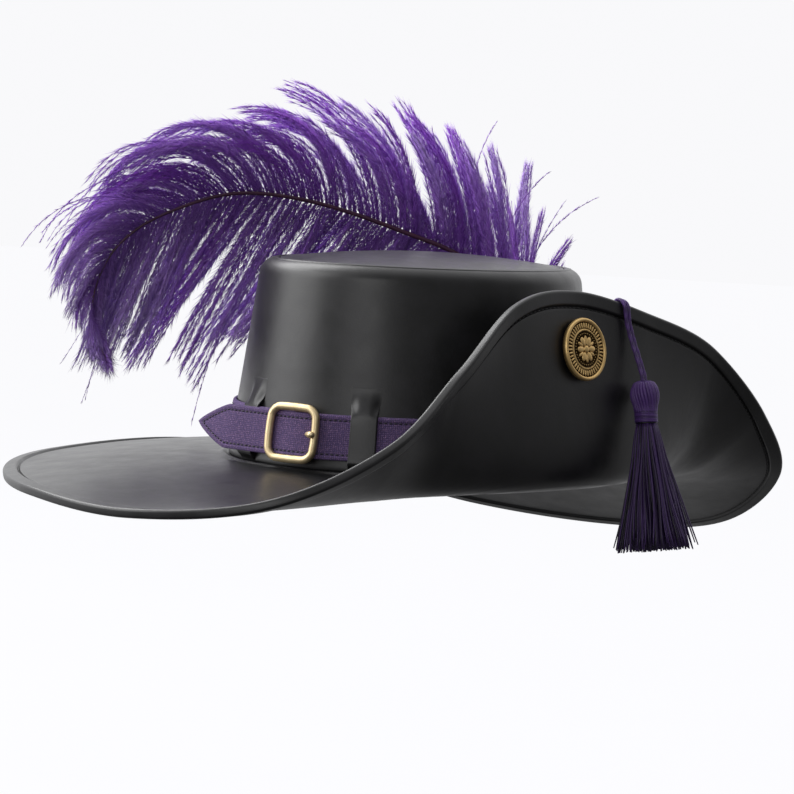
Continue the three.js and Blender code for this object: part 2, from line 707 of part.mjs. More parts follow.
const buckleWay = ovalNormal(buckleTurn).setZ(wallSlope).normalize();
const buckleHeightUp = strapLift + strapWidth / 2;
const buckle = piece('buckle_frame', buckleGeometry(), finishes.brass);
hat.add(place(buckle, wallPoint(buckleTurn, buckleHeightUp, frameOff), buckleWay));
const prong = piece('buckle_prong', prongGeometry(), finishes.brass);
hat.add(place(prong, wallPoint(buckleTurn, buckleHeightUp, frameOff), buckleWay));

hat.add(place(piece('button', buttonGeometry(), finishes.oldBrass), buttonPoint, buttonWay));
hat.add(piece('tassel_cord_1', cordGeometry(-1), finishes.cord));
hat.add(piece('tassel_cord_2', cordGeometry(1), finishes.cord));
hat.add(anchorMesh());
hat.add(hungTassel());
hat.add(piece('plume', plumeGeometry(), finishes.feather));

export default hat;
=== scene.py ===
"""Looks of a moulded leather cavalier hat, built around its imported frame."""

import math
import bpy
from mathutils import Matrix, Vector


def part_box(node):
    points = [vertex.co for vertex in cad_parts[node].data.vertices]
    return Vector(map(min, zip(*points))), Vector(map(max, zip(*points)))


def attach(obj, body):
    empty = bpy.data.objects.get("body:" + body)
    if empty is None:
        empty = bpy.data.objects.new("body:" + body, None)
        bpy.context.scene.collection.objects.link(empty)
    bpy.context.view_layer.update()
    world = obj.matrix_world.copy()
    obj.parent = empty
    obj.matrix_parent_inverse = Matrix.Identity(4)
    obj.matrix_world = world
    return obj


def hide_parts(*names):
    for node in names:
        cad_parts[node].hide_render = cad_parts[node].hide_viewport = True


bl_info = {
    "name": "Cavalier Hat",
    "version": (1, 0, 0),
    "blender": (4, 5, 0),
    "location": "3D View > Sidebar > Hat",
    "description": "Models a leather cavalier hat with its strap, button, tassel and plume",
    "category": "Add Mesh",
}

import bpy
import numpy as np
from bpy.props import FloatProperty, IntProperty, PointerProperty, StringProperty
from bpy.types import Operator, Panel, PropertyGroup
from mathutils import Matrix, Vector

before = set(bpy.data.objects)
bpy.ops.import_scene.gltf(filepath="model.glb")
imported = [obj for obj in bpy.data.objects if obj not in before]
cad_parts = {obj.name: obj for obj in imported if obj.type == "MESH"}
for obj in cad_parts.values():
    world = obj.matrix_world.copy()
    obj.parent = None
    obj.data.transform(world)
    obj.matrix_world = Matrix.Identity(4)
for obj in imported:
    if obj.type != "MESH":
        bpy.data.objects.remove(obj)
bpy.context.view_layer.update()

MM = 0.001
_crown_low, CROWN_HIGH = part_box("crown")
STRAP_LOW, STRAP_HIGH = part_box("hat_strap")
PANEL_DOME = 3 * MM

# The gap between pieces that lie on each other
SEAT = 0.3 * MM

# One row for each brim section from the wearer's left round by the back: the angle on the
# crown's base in degrees, the edge's stand-off across and along as shares of the brim's width,
# its lift and droop as shares of the flap's height and the back's droop, and the bend between
# crown and edge out from the crown and below it as shares of the brim's width
BRIM_ROWS = np.array([
    (0, 0.11, -0.02, 1.0, 0, 0.3, 0.14),
    (24, 0.23, 0.04, 0.89, 0, 0.33, 0.14),
    (46, 0.42, 0.22, 0.7, 0, 0.41, 0.13),
    (60, 0.54, 0.54, 0.32, 0, 0.5, 0.15),
    (72, 0.51, 0.88, 0, 0.14, 0.53, 0.15),
    (84, 0.21, 1.08, 0, 0.79, 0.53, 0.15),
    (97, -0.23, 1.09, 0, 1.0, 0.53, 0.14),
    (115, -0.67, 0.86, 0, 0.89, 0.53, 0.12),
    (142, -0.93, 0.5, 0, 0.46, 0.5, 0.07),
    (171, -0.98, 0.11, 0, 0.25, 0.5, 0.03),
    (201, -0.91, -0.3, 0, 0.25, 0.5, 0.03),
    (233, -0.71, -0.6, 0, 0.26, 0.5, 0.03),
    (255, -0.34, -0.89, 0, 0.24, 0.5, 0.04),
    (275, 0.08, -0.97, 0, 0.26, 0.5, 0.06),
    (290, 0.42, -0.79, 0, 0.07, 0.5, 0.11),
    (303, 0.51, -0.46, 0.25, 0, 0.45, 0.13),
    (316, 0.37, -0.18, 0.61, 0, 0.38, 0.14),
    (336, 0.18, -0.04, 0.94, 0, 0.32, 0.14),
])
BEND_TIGHTNESS = 0.78

# Stand-off of the strap near the buckle: metres past the buckle's middle, and strap
# thicknesses above the strap that lies on the crown
STRAP_PAST = np.array([-27, -20, -15, 0, 15, 28, 46, 62]) * MM
STRAP_OFF = np.array([0, 0.7, 1.25, 2.05, 1.35, 2.9, 7.4, 11.5])

# Radii of one stitch from end to end, in the hem's groove and along the strap
HEM_THREAD = np.array([0.1, 0.24, 0.24, 0.1]) * MM
STRAP_THREAD = np.array([0.2, 0.42, 0.42, 0.2]) * MM

# The plume's shaft above the hat, as shares of the crown's half width, half length and height
SHAFT_ROWS = np.array([
    (-0.28, 1.02, 0.66),
    (-0.53, 0.89, 0.97),
    (-0.83, 0.6, 1.13),
    (-1.17, 0.17, 1.27),
    (-1.35, -0.2, 1.29),
    (-1.46, -0.51, 1.2),
    (-1.49, -0.78, 1.08),
    (-1.46, -0.99, 0.92),
    (-1.4, -1.12, 0.68),
    (-1.24, -1.12, 0.4),
])

# Barbs along the plume: share of the shaft, then for the barbs above and below it their length
# as a share of the longest and the angles to the shaft at which they leave it and end, and how
# loosely they lie
BARB_COLUMNS = (
    "at", "above", "above_from", "above_to", "below", "below_from", "below_to", "loose")
BARB_ROWS = np.array([
    (0.1, 0.7, 42, 48, 0.2, 60, 50, 1.0),
    (0.15, 0.84, 32, 20, 0.25, 62, 55, 1.0),
    (0.2, 0.86, 42, 18, 0.35, 64, 58, 1.0),
    (0.25, 0.88, 50, 24, 0.45, 66, 60, 0.9),
    (0.3, 0.87, 60, 26, 0.6, 68, 64, 0.8),
    (0.35, 0.91, 68, 18, 0.75, 69, 65, 0.7),
    (0.4, 0.92, 72, 0, 0.9, 70, 66, 0.6),
    (0.5, 0.94, 70, -32, 1.0, 68, 62, 0.4),
    (0.55, 0.96, 64, -46, 1.0, 60, 57, 0.35),
    (0.6, 0.96, 57, -56, 1.0, 52, 52, 0.35),
    (0.7, 0.86, 46, -56, 0.9, 42, 42, 0.35),
    (0.8, 0.6, 42, -42, 0.64, 40, 34, 0.35),
    (0.85, 0.43, 40, -30, 0.42, 34, 26, 0.35),
    (0.9, 0.28, 38, -15, 0.3, 28, 12, 0.35),
    (0.95, 0.14, 34, 0, 0.14, 22, 8, 0.35),
    (1.0, 0.04, 24, 5, 0.04, 18, 5, 0.35),
])

# Taken from the tone of a barb that strays from its lock, which marks it as one
STRAY_MARK = 2.0


def length_property(name, description, default):
    """A length among the settings."""
    return FloatProperty(name=name, description=description, default=default, unit="LENGTH")


class HatLeather(PropertyGroup):
    """Sizes of the crown and brim"""

    half_width: length_property(
        "Crown Half Width", "Half the crown's width at its base", CROWN_HIGH.x)
    half_length: length_property(
        "Crown Half Length", "Half the crown's length at its base", CROWN_HIGH.y)
    height: length_property("Crown Height", "Height of the crown's rim", CROWN_HIGH.z - PANEL_DOME)
    taper: length_property(
        "Crown Taper", "How far the crown's wall leans in over its height", 13 * MM)
    wall: length_property("Crown Wall", "Thickness of the crown's leather", 2.8 * MM)
    edge_radius: length_property(
        "Top Edge Radius", "Radius of the crown's rounded top edge", 9 * MM)
    panel_inset: length_property(
        "Top Panel Inset", "How far the top panel's seam lies in from the wall", 17 * MM)
    panel_rise: length_property(
        "Top Panel Rise", "Height of the top panel's dome over the rim", 5.6 * MM)
    panel_groove: length_property(
        "Top Panel Groove", "Depth of the groove round the top panel", 1.6 * MM)
    brim_width: length_property("Brim Width", "Width of the brim", 125 * MM)
    flap_height: length_property(
        "Flap Height", "Height to which the left side is turned up", 96 * MM)
    back_droop: length_property("Back Droop", "How far the back of the brim hangs down", 53 * MM)
    brim_wall: length_property("Brim Wall", "Thickness of the brim's leather", 2.6 * MM)
    hem_width: length_property("Hem Width", "Width of the folded hem", 8.5 * MM)
    hem_wall: length_property("Hem Thickness", "Thickness of the folded hem", 4.8 * MM)
    hem_corner: length_property("Hem Corner", "Radius of the hem's outer corners", 1.5 * MM)
    groove_depth: length_property(
        "Groove Depth", "Depth of the stitched groove along the hem", 1.1 * MM)
    lip: length_property(
        "Brim Lip", "Height of the rolled lip where the brim meets the crown", 1.1 * MM)
    stitch_pitch: length_property(
        "Hem Stitch", "Length of one stitch in the hem's groove", 3.2 * MM)
    colour: StringProperty(
        name="Leather Colour", description="sRGB hex colour of the leather", default="#141415")
    worn: StringProperty(
        name="Rubbed Colour", description="sRGB hex colour where the leather is rubbed",
        default="#1d1c1f")


class HatStrap(PropertyGroup):
    """Sizes of the strap, its keepers and its buckle"""

    width: length_property("Strap Width", "Width of the strap", STRAP_HIGH.z - STRAP_LOW.z)
    lift: length_property("Strap Lift", "Height of the strap's lower edge", STRAP_LOW.z)
    wall: length_property("Strap Thickness", "Thickness of the strap", 1.6 * MM)
    end: length_property("Strap End", "Length of the free end past the buckle", 45 * MM)
    point: length_property("Strap Point", "Length of the strap's curved point", 21 * MM)
    stitch_pitch: length_property("Strap Stitch", "Length of one stitch along the strap", 2.5 * MM)
    stitch_inset: length_property(
        "Stitch Inset", "Distance of the stitches from the strap's edge", 2.8 * MM)
    keeper_width: length_property("Keeper Width", "Width of a leather keeper", 13.5 * MM)
    keeper_wall: length_property("Keeper Thickness", "Thickness of a leather keeper", 1.4 * MM)
    keeper_spread: FloatProperty(
        name="Keeper Spread", description="Degrees from the buckle to a front keeper",
        default=22.5)
    buckle_turn: FloatProperty(
        name="Buckle Turn", description="Place of the buckle on the crown, in degrees",
        default=-82)
    buckle_width: length_property("Buckle Width", "Outer width of the buckle's frame", 34 * MM)
    buckle_height: length_property("Buckle Height", "Outer height of the buckle's frame", 32 * MM)
    buckle_corner: length_property(
        "Buckle Corner", "Outer radius of the buckle's corners", 8.5 * MM)
    buckle_wire: length_property("Buckle Wire", "Diameter of the buckle's round wire", 3.8 * MM)
    buckle_band: length_property(
        "Buckle Band", "Width of the frame's wire as seen from the front", 4.1 * MM)
    buckle_fit: FloatProperty(
        name="Buckle Fit", description="Share of the frame's nominal size", default=0.915)
    buckle_bow: length_property("Buckle Bow", "How far the frame's sides bow out", 0.9 * MM)
    buckle_bar: length_property(
        "Buckle Bar", "Diameter of the middle bar behind the strap", 2.6 * MM)
    prong_wire: length_property("Prong Wire", "Diameter of the prong", 2.6 * MM)
    colour: StringProperty(
        name="Strap Colour", description="sRGB hex colour of the woven strap", default="#594874")
    thread: StringProperty(
        name="Thread Colour", description="sRGB hex colour of the strap's stitches",
        default="#1c1028")
    brass: StringProperty(
        name="Brass Colour", description="sRGB hex colour of the satin brass", default="#e2d0aa")


class HatTrim(PropertyGroup):
    """Sizes of the button, the cords and the tassel"""

    button_diameter: length_property("Button Diameter", "Outer diameter of the button", 32 * MM)
    button_drop: length_property(
        "Button Drop", "Distance of the button's middle from the brim's edge", 30 * MM)
    button_round: FloatProperty(
        name="Button Place", description="Share of the way round the brim of the button",
        default=-0.0015)
    button_ribs: IntProperty(
        name="Button Ribs", description="Number of radial ribs round the button", default=44)
    cord_diameter: length_property("Cord Diameter", "Diameter of one twisted cord", 2 * MM)
    cord_pitch: length_property(
        "Cord Spacing", "Distance between the two cords on the brim's edge", 3.6 * MM)
    cord_round: FloatProperty(
        name="Cord Place", description="Share of the way round the brim of the cords",
        default=0.037)
    cord_slant: FloatProperty(
        name="Cord Slant", description="Share of the way round that the cords move back by",
        default=0.0014)
    cord_drop: length_property("Cord Drop", "Distance from the edge to the tassel's top", 38 * MM)
    cord_tail: length_property("Cord Tail", "Distance from the edge to the cords' anchor", 22 * MM)
    cord_lay: length_property("Cord Lay", "Length of one turn of the cord's twist", 6 * MM)
    anchor_diameter: length_property(
        "Anchor Diameter", "Diameter of the leather disc under the cords", 9 * MM)
    anchor_wall: length_property("Anchor Thickness", "Thickness of that disc", 1.6 * MM)
    tassel_ball: length_property("Tassel Ball", "Diameter of the tassel's wound ball", 15 * MM)
    tassel_neck: length_property("Tassel Neck", "Diameter of the tassel's bound neck", 11 * MM)
    neck_length: length_property("Neck Length", "Length of the bound neck", 11 * MM)
    tassel_length: length_property("Tassel Length", "Length of the tassel from its top", 86 * MM)
    tassel_spread: length_property("Tassel Spread", "Width of the skirt at its end", 41 * MM)
    tassel_swing: length_property(
        "Tassel Swing", "How far the tassel's end hangs forward", -4 * MM)
    strands: IntProperty(
        name="Tassel Strands", description="Number of strands in the skirt", default=420)
    colour: StringProperty(
        name="Cord Colour", description="sRGB hex colour of the rayon cord", default="#583a7c")
    old_brass: StringProperty(
        name="Old Brass Colour", description="sRGB hex colour of the antique brass",
        default="#efcb8b")
    tarnish: StringProperty(
        name="Tarnish Colour", description="sRGB hex colour in the button's recesses",
        default="#3c2a12")


class HatPlume(PropertyGroup):
    """Sizes of the ostrich plume"""

    turn: FloatProperty(
        name="Quill Turn", description="Place of the quill on the crown, in degrees", default=98)
    quill: length_property("Quill Diameter", "Diameter of the shaft at the quill", 3.4 * MM)
    tip: length_property("Shaft Tip", "Diameter of the shaft at its tip", 1.2 * MM)
    barb_length: length_property("Barb Length", "Length of the longest barbs", 95 * MM)
    barbs: IntProperty(
        name="Barbs", description="Number of barbs on each side of the shaft", default=440)
    barb_width: length_property("Barb Width", "Diameter of a barb at the shaft", 0.72 * MM)
    barbule_length: length_property("Barbule Length", "Length of the soft barbules", 8.5 * MM)
    barbule_pitch: length_property(
        "Barbule Spacing", "Distance between barbules along a barb", 0.45 * MM)
    barbule_width: length_property("Barbule Width", "Width of a barbule at its root", 0.35 * MM)
    sway: FloatProperty(
        name="Barb Sway", description="How far the barbs stand out of the plume's plane, degrees",
        default=13)
    colour: StringProperty(
        name="Feather Colour", description="sRGB hex colour of the barbs", default="#a049dc")
    deep: StringProperty(
        name="Feather Depth", description="sRGB hex colour near the shaft", default="#622c92")
    # The tips' colour is a painted light shining through the thin barbs
    light: StringProperty(
        name="Feather Tips", description="sRGB hex colour of the barbs' tips", default="#cdb0f0")


class HatStage(PropertyGroup):
    """Camera, floor and light"""

    azimuth: FloatProperty(
        name="Camera Azimuth", description="Angle of the camera round the hat, in degrees",
        default=40.07)
    distance: length_property("Camera Distance", "Level distance from the hat's axis", 1.5976)
    height: length_property("Camera Height", "Height over the head opening", 0.1612)
    aim_right: length_property(
        "Aim Right", "How far right of the hat's axis the camera looks", -0.0103)
    aim_up: length_property("Aim Up", "Height of the point that the camera looks at", 0.0311)
    roll: FloatProperty(
        name="Camera Roll", description="Turn of the camera about its view, in degrees",
        default=2.95)
    field: FloatProperty(
        name="Field of View", description="Width of the view, in degrees", default=14.909)
    floor_drop: length_property("Floor Drop", "Height of the floor under the head opening", 0.24)
    bright_side: FloatProperty(
        name="Bright Side", description="Angle from straight ahead to the brightest wall, degrees",
        default=30.0)
    bright_room: FloatProperty(
        name="Bright Room", description="Light from the brightest wall", default=1.0)
    dark_room: FloatProperty(
        name="Dark Room", description="Light from the darkest wall", default=0.24)
    floor_colour: StringProperty(
        name="Floor Colour", description="sRGB hex colour of the floor", default="#323236")


class CavalierHat(PropertyGroup):
    """All sizes and colours of the hat"""

    leather: PointerProperty(type=HatLeather)
    strap: PointerProperty(type=HatStrap)
    trim: PointerProperty(type=HatTrim)
    plume: PointerProperty(type=HatPlume)
    stage: PointerProperty(type=HatStage)


def hat():
    """The sizes and colours set on the scene."""
    return bpy.context.scene.cavalier_hat


# Small geometry


def unit(ways):
    """Ways of length one."""
    return ways / np.linalg.norm(ways, axis=-1, keepdims=True)


def smoothstep(value, low, high):
    """0 below low, 1 above high and an easy curve between."""
    share = np.clip((value - low) / (high - low), 0, 1)
    return share * share * (3 - 2 * share)


def evenly(points, steps):
    """A line's points, spaced evenly along it."""
    run = np.concatenate([[0], np.cumsum(np.linalg.norm(np.diff(points, axis=0), axis=1))])
    at = np.linspace(0, run[-1], steps + 1)
    return np.stack([np.interp(at, run, points[:, axis]) for axis in range(3)], -1)


def smooth_path(points, steps):
    """A centripetal Catmull-Rom curve through points, as evenly spaced points."""
    points = np.asarray(points, float)
    ends = np.concatenate([[2 * points[0] - points[1]], points, [2 * points[-1] - points[-2]]])
    knots = np.concatenate([[0], np.cumsum(np.linalg.norm(np.diff(ends, axis=0), axis=1) ** 0.5)])
    dense = []
    for i in range(1, len(ends) - 2):
        k = knots[i - 1:i + 3]
        p = ends[i - 1:i + 3]
        t = np.linspace(k[1], k[2], 24, endpoint=False)[:, None]
        a = [((k[j + 1] - t) * p[j] + (t - k[j]) * p[j + 1]) / (k[j + 1] - k[j]) for j in range(3)]
        b = [((k[j + 2] - t) * a[j] + (t - k[j]) * a[j + 1]) / (k[j + 2] - k[j]) for j in range(2)]
        dense.append(((k[2] - t) * b[0] + (t - k[1]) * b[1]) / (k[2] - k[1]))
    dense.append(points[-1:])
    return evenly(np.concatenate(dense), steps)


def closed_curve(rows, share):
    """A closed Catmull-Rom curve through rows, at shares of the way round."""
    at = (share % 1) * len(rows)
    row = np.floor(at).astype(int)
    t = (at - row)[:, None]
    p0, p1, p2, p3 = (rows[(row + step) % len(rows)] for step in (-1, 0, 1, 2))
    return 0.5 * (
        2 * p1 + (p2 - p0) * t + (2 * p0 - 5 * p1 + 4 * p2 - p3) * t**2
        + (3 * p1 - p0 - 3 * p2 + p3) * t**3)


def oval(turn, inset, z):
    """Points on an ellipse inset from the crown's base. The turn is in degrees."""
    angle = np.radians(turn)
    x = (hat().leather.half_width - inset) * np.cos(angle)
    y = (hat().leather.half_length - inset) * np.sin(angle)
    return np.stack(np.broadcast_arrays(x, y, z), -1)


def oval_normal(turn):
    """The level way out of the crown's wall."""
    angle = np.radians(turn)
    x = np.cos(angle) / hat().leather.half_width
    y = np.sin(angle) / hat().leather.half_length
    return unit(np.stack(np.broadcast_arrays(x, y, 0.0), -1))


def wall_slope():
    """How far the crown's wall leans in for each metre up."""
    return hat().leather.taper / hat().leather.height


def wall_point(turn, z, off):
    """Points off the crown's side wall."""
    turn, z, off = np.broadcast_arrays(np.asarray(turn, float), z, off)
    return oval(turn, z * wall_slope(), z) + oval_normal(turn) * off[..., None]


def turn_for(length, turn):
    """Degrees on the crown's base that cover a length at a turn."""
    return length / np.linalg.norm(oval(turn + 0.5, 0, 0) - oval(turn - 0.5, 0, 0))


def brim_lines(share):
    """Brim sections from the crown to the edge: points, distances from the edge and turns."""
    leather = hat().leather
    share = np.asarray(share, float) % 1
    row_turn = 360 / len(BRIM_ROWS)
    turn, across, along, lift, droop, bend_out, bend_down = BRIM_ROWS.T
    reach = np.stack([
        across * leather.brim_width, along * leather.brim_width,
        lift * leather.flap_height - droop * leather.back_droop], -1)
    edge_off = closed_curve(reach, share)
    bend = closed_curve(
        np.stack([turn - np.arange(len(turn)) * row_turn, bend_out, bend_down], -1), share)
    turns = bend[:, 0] + share * 360
    root = oval(turns, 0, -leather.brim_wall / 2)
    edge = root + edge_off
    corner = root + oval_normal(turns) * bend[:, 1:2] * leather.brim_width
    corner[:, 2] -= bend[:, 2] * leather.brim_width
    near = root + (corner - root) * BEND_TIGHTNESS
    far = edge + (corner - edge) * BEND_TIGHTNESS
    t = np.linspace(0, 1, 161)[None, :, None]
    lines = (
        (1 - t)**3 * root[:, None] + 3 * (1 - t)**2 * t * near[:, None]
        + 3 * (1 - t) * t**2 * far[:, None] + t**3 * edge[:, None])
    steps = np.linalg.norm(np.diff(lines, axis=1), axis=2)
    from_edge = np.zeros(lines.shape[:2])
    from_edge[:, :-1] = np.cumsum(steps[:, ::-1], axis=1)[:, ::-1]
    return lines, from_edge, turns


def brim_middle(share, from_edge):
    """The middle of the leather for a grid: sections by distances from the edge."""
    lines, distance, _turns = brim_lines(share)
    from_edge = np.broadcast_to(from_edge, (len(lines), np.shape(from_edge)[-1]))
    middle = np.empty((*from_edge.shape, 3))
    for i, line in enumerate(lines):
        for axis in range(3):
            middle[i, :, axis] = np.interp(from_edge[i], distance[i, ::-1], line[::-1, axis])
    return middle


def brim_face(share, from_edge):
    """One place on the brim: the leather's middle, the way its upper face looks, the way out."""
    nudge = 0.002
    step = 1 * MM
    places = brim_middle(
        [share - nudge, share, share + nudge],
        [max(from_edge - step, 0), from_edge, from_edge + step])
    along = places[2, 1] - places[0, 1]
    out = places[1, 0] - places[1, 2]
    return places[1, 1], unit(np.cross(out, along)), unit(out)


# Meshes


def grid_faces(rows, columns, loop_rows=False, loop_columns=False):
    """Four-sided faces over a grid of points."""
    i = np.arange(rows if loop_rows else rows - 1)[:, None]
    j = np.arange(columns if loop_columns else columns - 1)[None, :]
    a, b = i * columns + j, i * columns + (j + 1) % columns
    c, d = ((i + 1) % rows) * columns + (j + 1) % columns, ((i + 1) % rows) * columns + j
    return np.stack([a, b, c, d], -1).reshape(-1, 4)


def tubes(paths, radii, sides, lean, twist=0.0, lobes=0.0):
    """Closed round bars along many paths at once: their points and faces. lean is a way that no
    path follows; lobes shapes the section as that of a two-ply cord, which twist turns."""
    count, steps = paths.shape[:2]
    way = unit(np.gradient(paths, axis=1))
    side = unit(np.cross(way, lean))
    up = np.cross(side, way)
    angle = np.arange(sides) * 2 * math.pi / sides
    turned = angle[None, None, :] + np.zeros((count, steps, 1))
    twisted = turned - np.broadcast_to(twist, (count, steps))[..., None]
    reach = np.broadcast_to(radii, (count, steps))[..., None] * (1 + lobes * np.cos(2 * twisted))
    ring = (
        side[:, :, None] * (reach * np.cos(turned))[..., None]
        + up[:, :, None] * (reach * np.sin(turned))[..., None])
    points = (paths[:, :, None] + ring).reshape(-1, 3)
    first = (np.arange(count) * steps * sides)[:, None, None]
    skin = (first + grid_faces(steps, sides, loop_columns=True)[None]).reshape(-1, 4)
    cap = first[:, 0] + np.arange(sides)
    return points, [skin[:, ::-1], cap, (cap + (steps - 1) * sides)[:, ::-1]]


def mesh_piece(name, points, face_sets, uv=None, tones=None):
    """A new object from arrays. uv is a pair for each point; tones are named values of points."""
    mesh = bpy.data.meshes.new(name)
    loops = np.concatenate([np.asarray(faces).ravel() for faces in face_sets]).astype(np.int32)
    sizes = np.concatenate([np.full(len(faces), faces.shape[1]) for faces in face_sets])
    mesh.vertices.add(len(points))
    mesh.vertices.foreach_set("co", np.asarray(points, np.float32).ravel())
    mesh.loops.add(len(loops))
    mesh.loops.foreach_set("vertex_index", loops)
    mesh.polygons.add(len(sizes))
    starts = np.concatenate([[0], np.cumsum(sizes)[:-1]])
    mesh.polygons.foreach_set("loop_start", starts.astype(np.int32))
    if uv is not None:
        layer = mesh.uv_layers.new(name="UVMap")
        layer.data.foreach_set("uv", np.asarray(uv, np.float32)[loops].ravel())
    for key, values in (tones or {}).items():
        tone = mesh.attributes.new(key, "FLOAT", "POINT")
        tone.data.foreach_set("value", np.asarray(values, np.float32))
    mesh.update(calc_edges=True)
    mesh.validate()
    mesh.shade_smooth()
    piece = bpy.data.objects.new(name, mesh)
    bpy.context.scene.collection.objects.link(piece)
    return piece


def join_sets(parts):
    """Joins the points and faces of several bodies into one."""
    points, sets, start = [], [], 0
    for body, faces in parts:
        points.append(body)
        sets += [f + start for f in faces]
        start += len(body)
    return np.concatenate(points), sets


def tube_piece(name, paths, radii, sides, lean):
    """A new object of closed round bars along paths."""
    return mesh_piece(name, *tubes(paths, radii, sides, lean))


def bar_piece(name, rings, uv=None):
    """A new object from closed rings in a row, with a cap at each end."""
    rows, columns = rings.shape[:2]
    cap = np.arange(columns)[None]
    skin = grid_faces(rows, columns, loop_columns=True)
    return mesh_piece(
        name, rings.reshape(-1, 3), [skin, cap[:, ::-1], cap + (rows - 1) * columns], uv=uv)


def pick_none():
    """Leaves edit mode and deselects everything."""
    if bpy.context.object and bpy.context.object.mode == "EDIT":
        bpy.ops.object.mode_set(mode="OBJECT")
    bpy.ops.object.select_all(action="DESELECT")


def pick(*objects):
    """Selects these objects only. The last is the active one."""
    pick_none()
    for piece in objects:
        piece.select_set(True)
    bpy.context.view_layer.objects.active = objects[-1]


def add_modifier(piece, kind, **settings):
    """Adds a modifier with its settings and applies it."""
    modifier = piece.modifiers.new(kind.title(), kind)
    for key, value in settings.items():
        setattr(modifier, key, value)
    pick(piece)
    bpy.ops.object.modifier_apply(modifier=modifier.name)


def joined(name, objects):
    """Joins objects into one of that name."""
    pick(*objects)
    bpy.ops.object.join()
    piece = bpy.context.object
    piece.name = name
    piece.data.name = name
    return piece


def settle(piece, place=None):
    """Applies an object's place and then a further place to its mesh."""
    pick(piece)
    bpy.ops.object.transform_apply(location=True, rotation=True, scale=True)
    if place is not None:
        piece.data.transform(place)
        piece.data.update()


def seat_matrix(point, outward):
    """A place on a surface: x is right, y is up and z is outward."""
    right = unit(np.cross((0, 0, 1), outward))
    up = np.cross(outward, right)
    place = Matrix.Identity(4)
    for column, way in enumerate((right, up, outward, point)):
        for axis in range(3):
            place[axis][column] = way[axis]
    return place


def show(piece, slot, material, *nodes):
    """Gives a piece its finish, parents it to the root body and hides the imported parts of the
    nodes that it stands for.
    """
    piece.data.materials.clear()
    piece.data.materials.append(material)
    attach(piece, "root")
    if nodes:
        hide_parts(*nodes)
    return piece


# Finishes


def linear(hex_colour):
    """An sRGB hex colour as linear red, green, blue and alpha."""
    parts = [int(hex_colour[i:i + 2], 16) / 255 for i in (1, 3, 5)]
    return [c / 12.92 if c <= 0.04045 else ((c + 0.055) / 1.055) ** 2.4 for c in parts] + [1.0]


def plug(tree, node, sockets):
    """Sets a node's inputs. sockets pairs an input with a value or another node's output."""
    for key, value in sockets:
        if isinstance(value, bpy.types.NodeSocket):
            tree.links.new(value, node.inputs[key])
        else:
            node.inputs[key].default_value = value


def add_node(tree, kind, sockets=(), **settings):
    """Adds a node with its settings and links."""
    node = tree.nodes.new(kind)
    for key, value in settings.items():
        setattr(node, key, value)
    plug(tree, node, sockets)
    return node


def new_finish(name, **constants):
    """A material with its principled shader, whose constant sockets are set."""
    material = bpy.data.materials.new(name)
    material.use_nodes = True
    shader = material.node_tree.nodes["Principled BSDF"]
    for key, value in constants.items():
        shader.inputs[key.replace("_", " ").title().replace("Ior", "IOR")].default_value = value
    return material, material.node_tree, shader


def waxed_leather():
    """Waxed vegetable-tanned cowhide: near black, softly glossy, with a fine pebbled grain and
    slow ripples from moulding that break up the light."""
    leather = hat().leather
    material, tree, shader = new_finish("Waxed Cowhide", coat_weight=0.22, coat_roughness=0.32)
    place = add_node(tree, "ShaderNodeTexCoord").outputs["Object"]
    grain_width, pore_width, ripple_length, rub_length = 0.9 * MM, 0.5 * MM, 38 * MM, 14 * MM
    grain = add_node(tree, "ShaderNodeTexVoronoi", [
        ("Vector", place), ("Scale", 1 / grain_width), ("Randomness", 1.0)], feature="SMOOTH_F1")
    pores = add_node(tree, "ShaderNodeTexNoise", [
        ("Vector", place), ("Scale", 1 / pore_width), ("Detail", 3.0)])
    ripple = add_node(tree, "ShaderNodeTexNoise", [
        ("Vector", place), ("Scale", 1 / ripple_length), ("Detail", 3.0), ("Distortion", 0.6)])
    rub = add_node(tree, "ShaderNodeTexNoise", [
        ("Vector", place), ("Scale", 1 / rub_length), ("Detail", 5.0), ("Roughness", 0.6)])
    worn = add_node(tree, "ShaderNodeMapRange", [
        ("Value", rub.outputs["Fac"]), ("From Min", 0.42), ("From Max", 0.72)])
    colour = add_node(tree, "ShaderNodeMix", [
        (0, worn.outputs["Result"]), (6, linear(leather.colour)), (7, linear(leather.worn))],
        data_type="RGBA")
    gloss = add_node(tree, "ShaderNodeMapRange", [
        ("Value", rub.outputs["Fac"]), ("From Min", 0.3), ("From Max", 0.75),
        ("To Min", 0.34), ("To Max", 0.46)])
    height = add_node(tree, "ShaderNodeMath", [
        (0, grain.outputs["Distance"]), (1, pores.outputs["Fac"])], operation="MULTIPLY")
    fine = add_node(tree, "ShaderNodeBump", [
        ("Height", height.outputs[0]), ("Distance", 0.08 * MM), ("Strength", 0.6)])
    broad = add_node(tree, "ShaderNodeBump", [
        ("Height", ripple.outputs["Fac"]), ("Distance", 0.7 * MM), ("Strength", 0.5),
        ("Normal", fine.outputs["Normal"])])
    plug(tree, shader, [
        ("Base Color", colour.outputs[2]), ("Roughness", gloss.outputs["Result"]),
        ("Normal", broad.outputs["Normal"])])
    return material


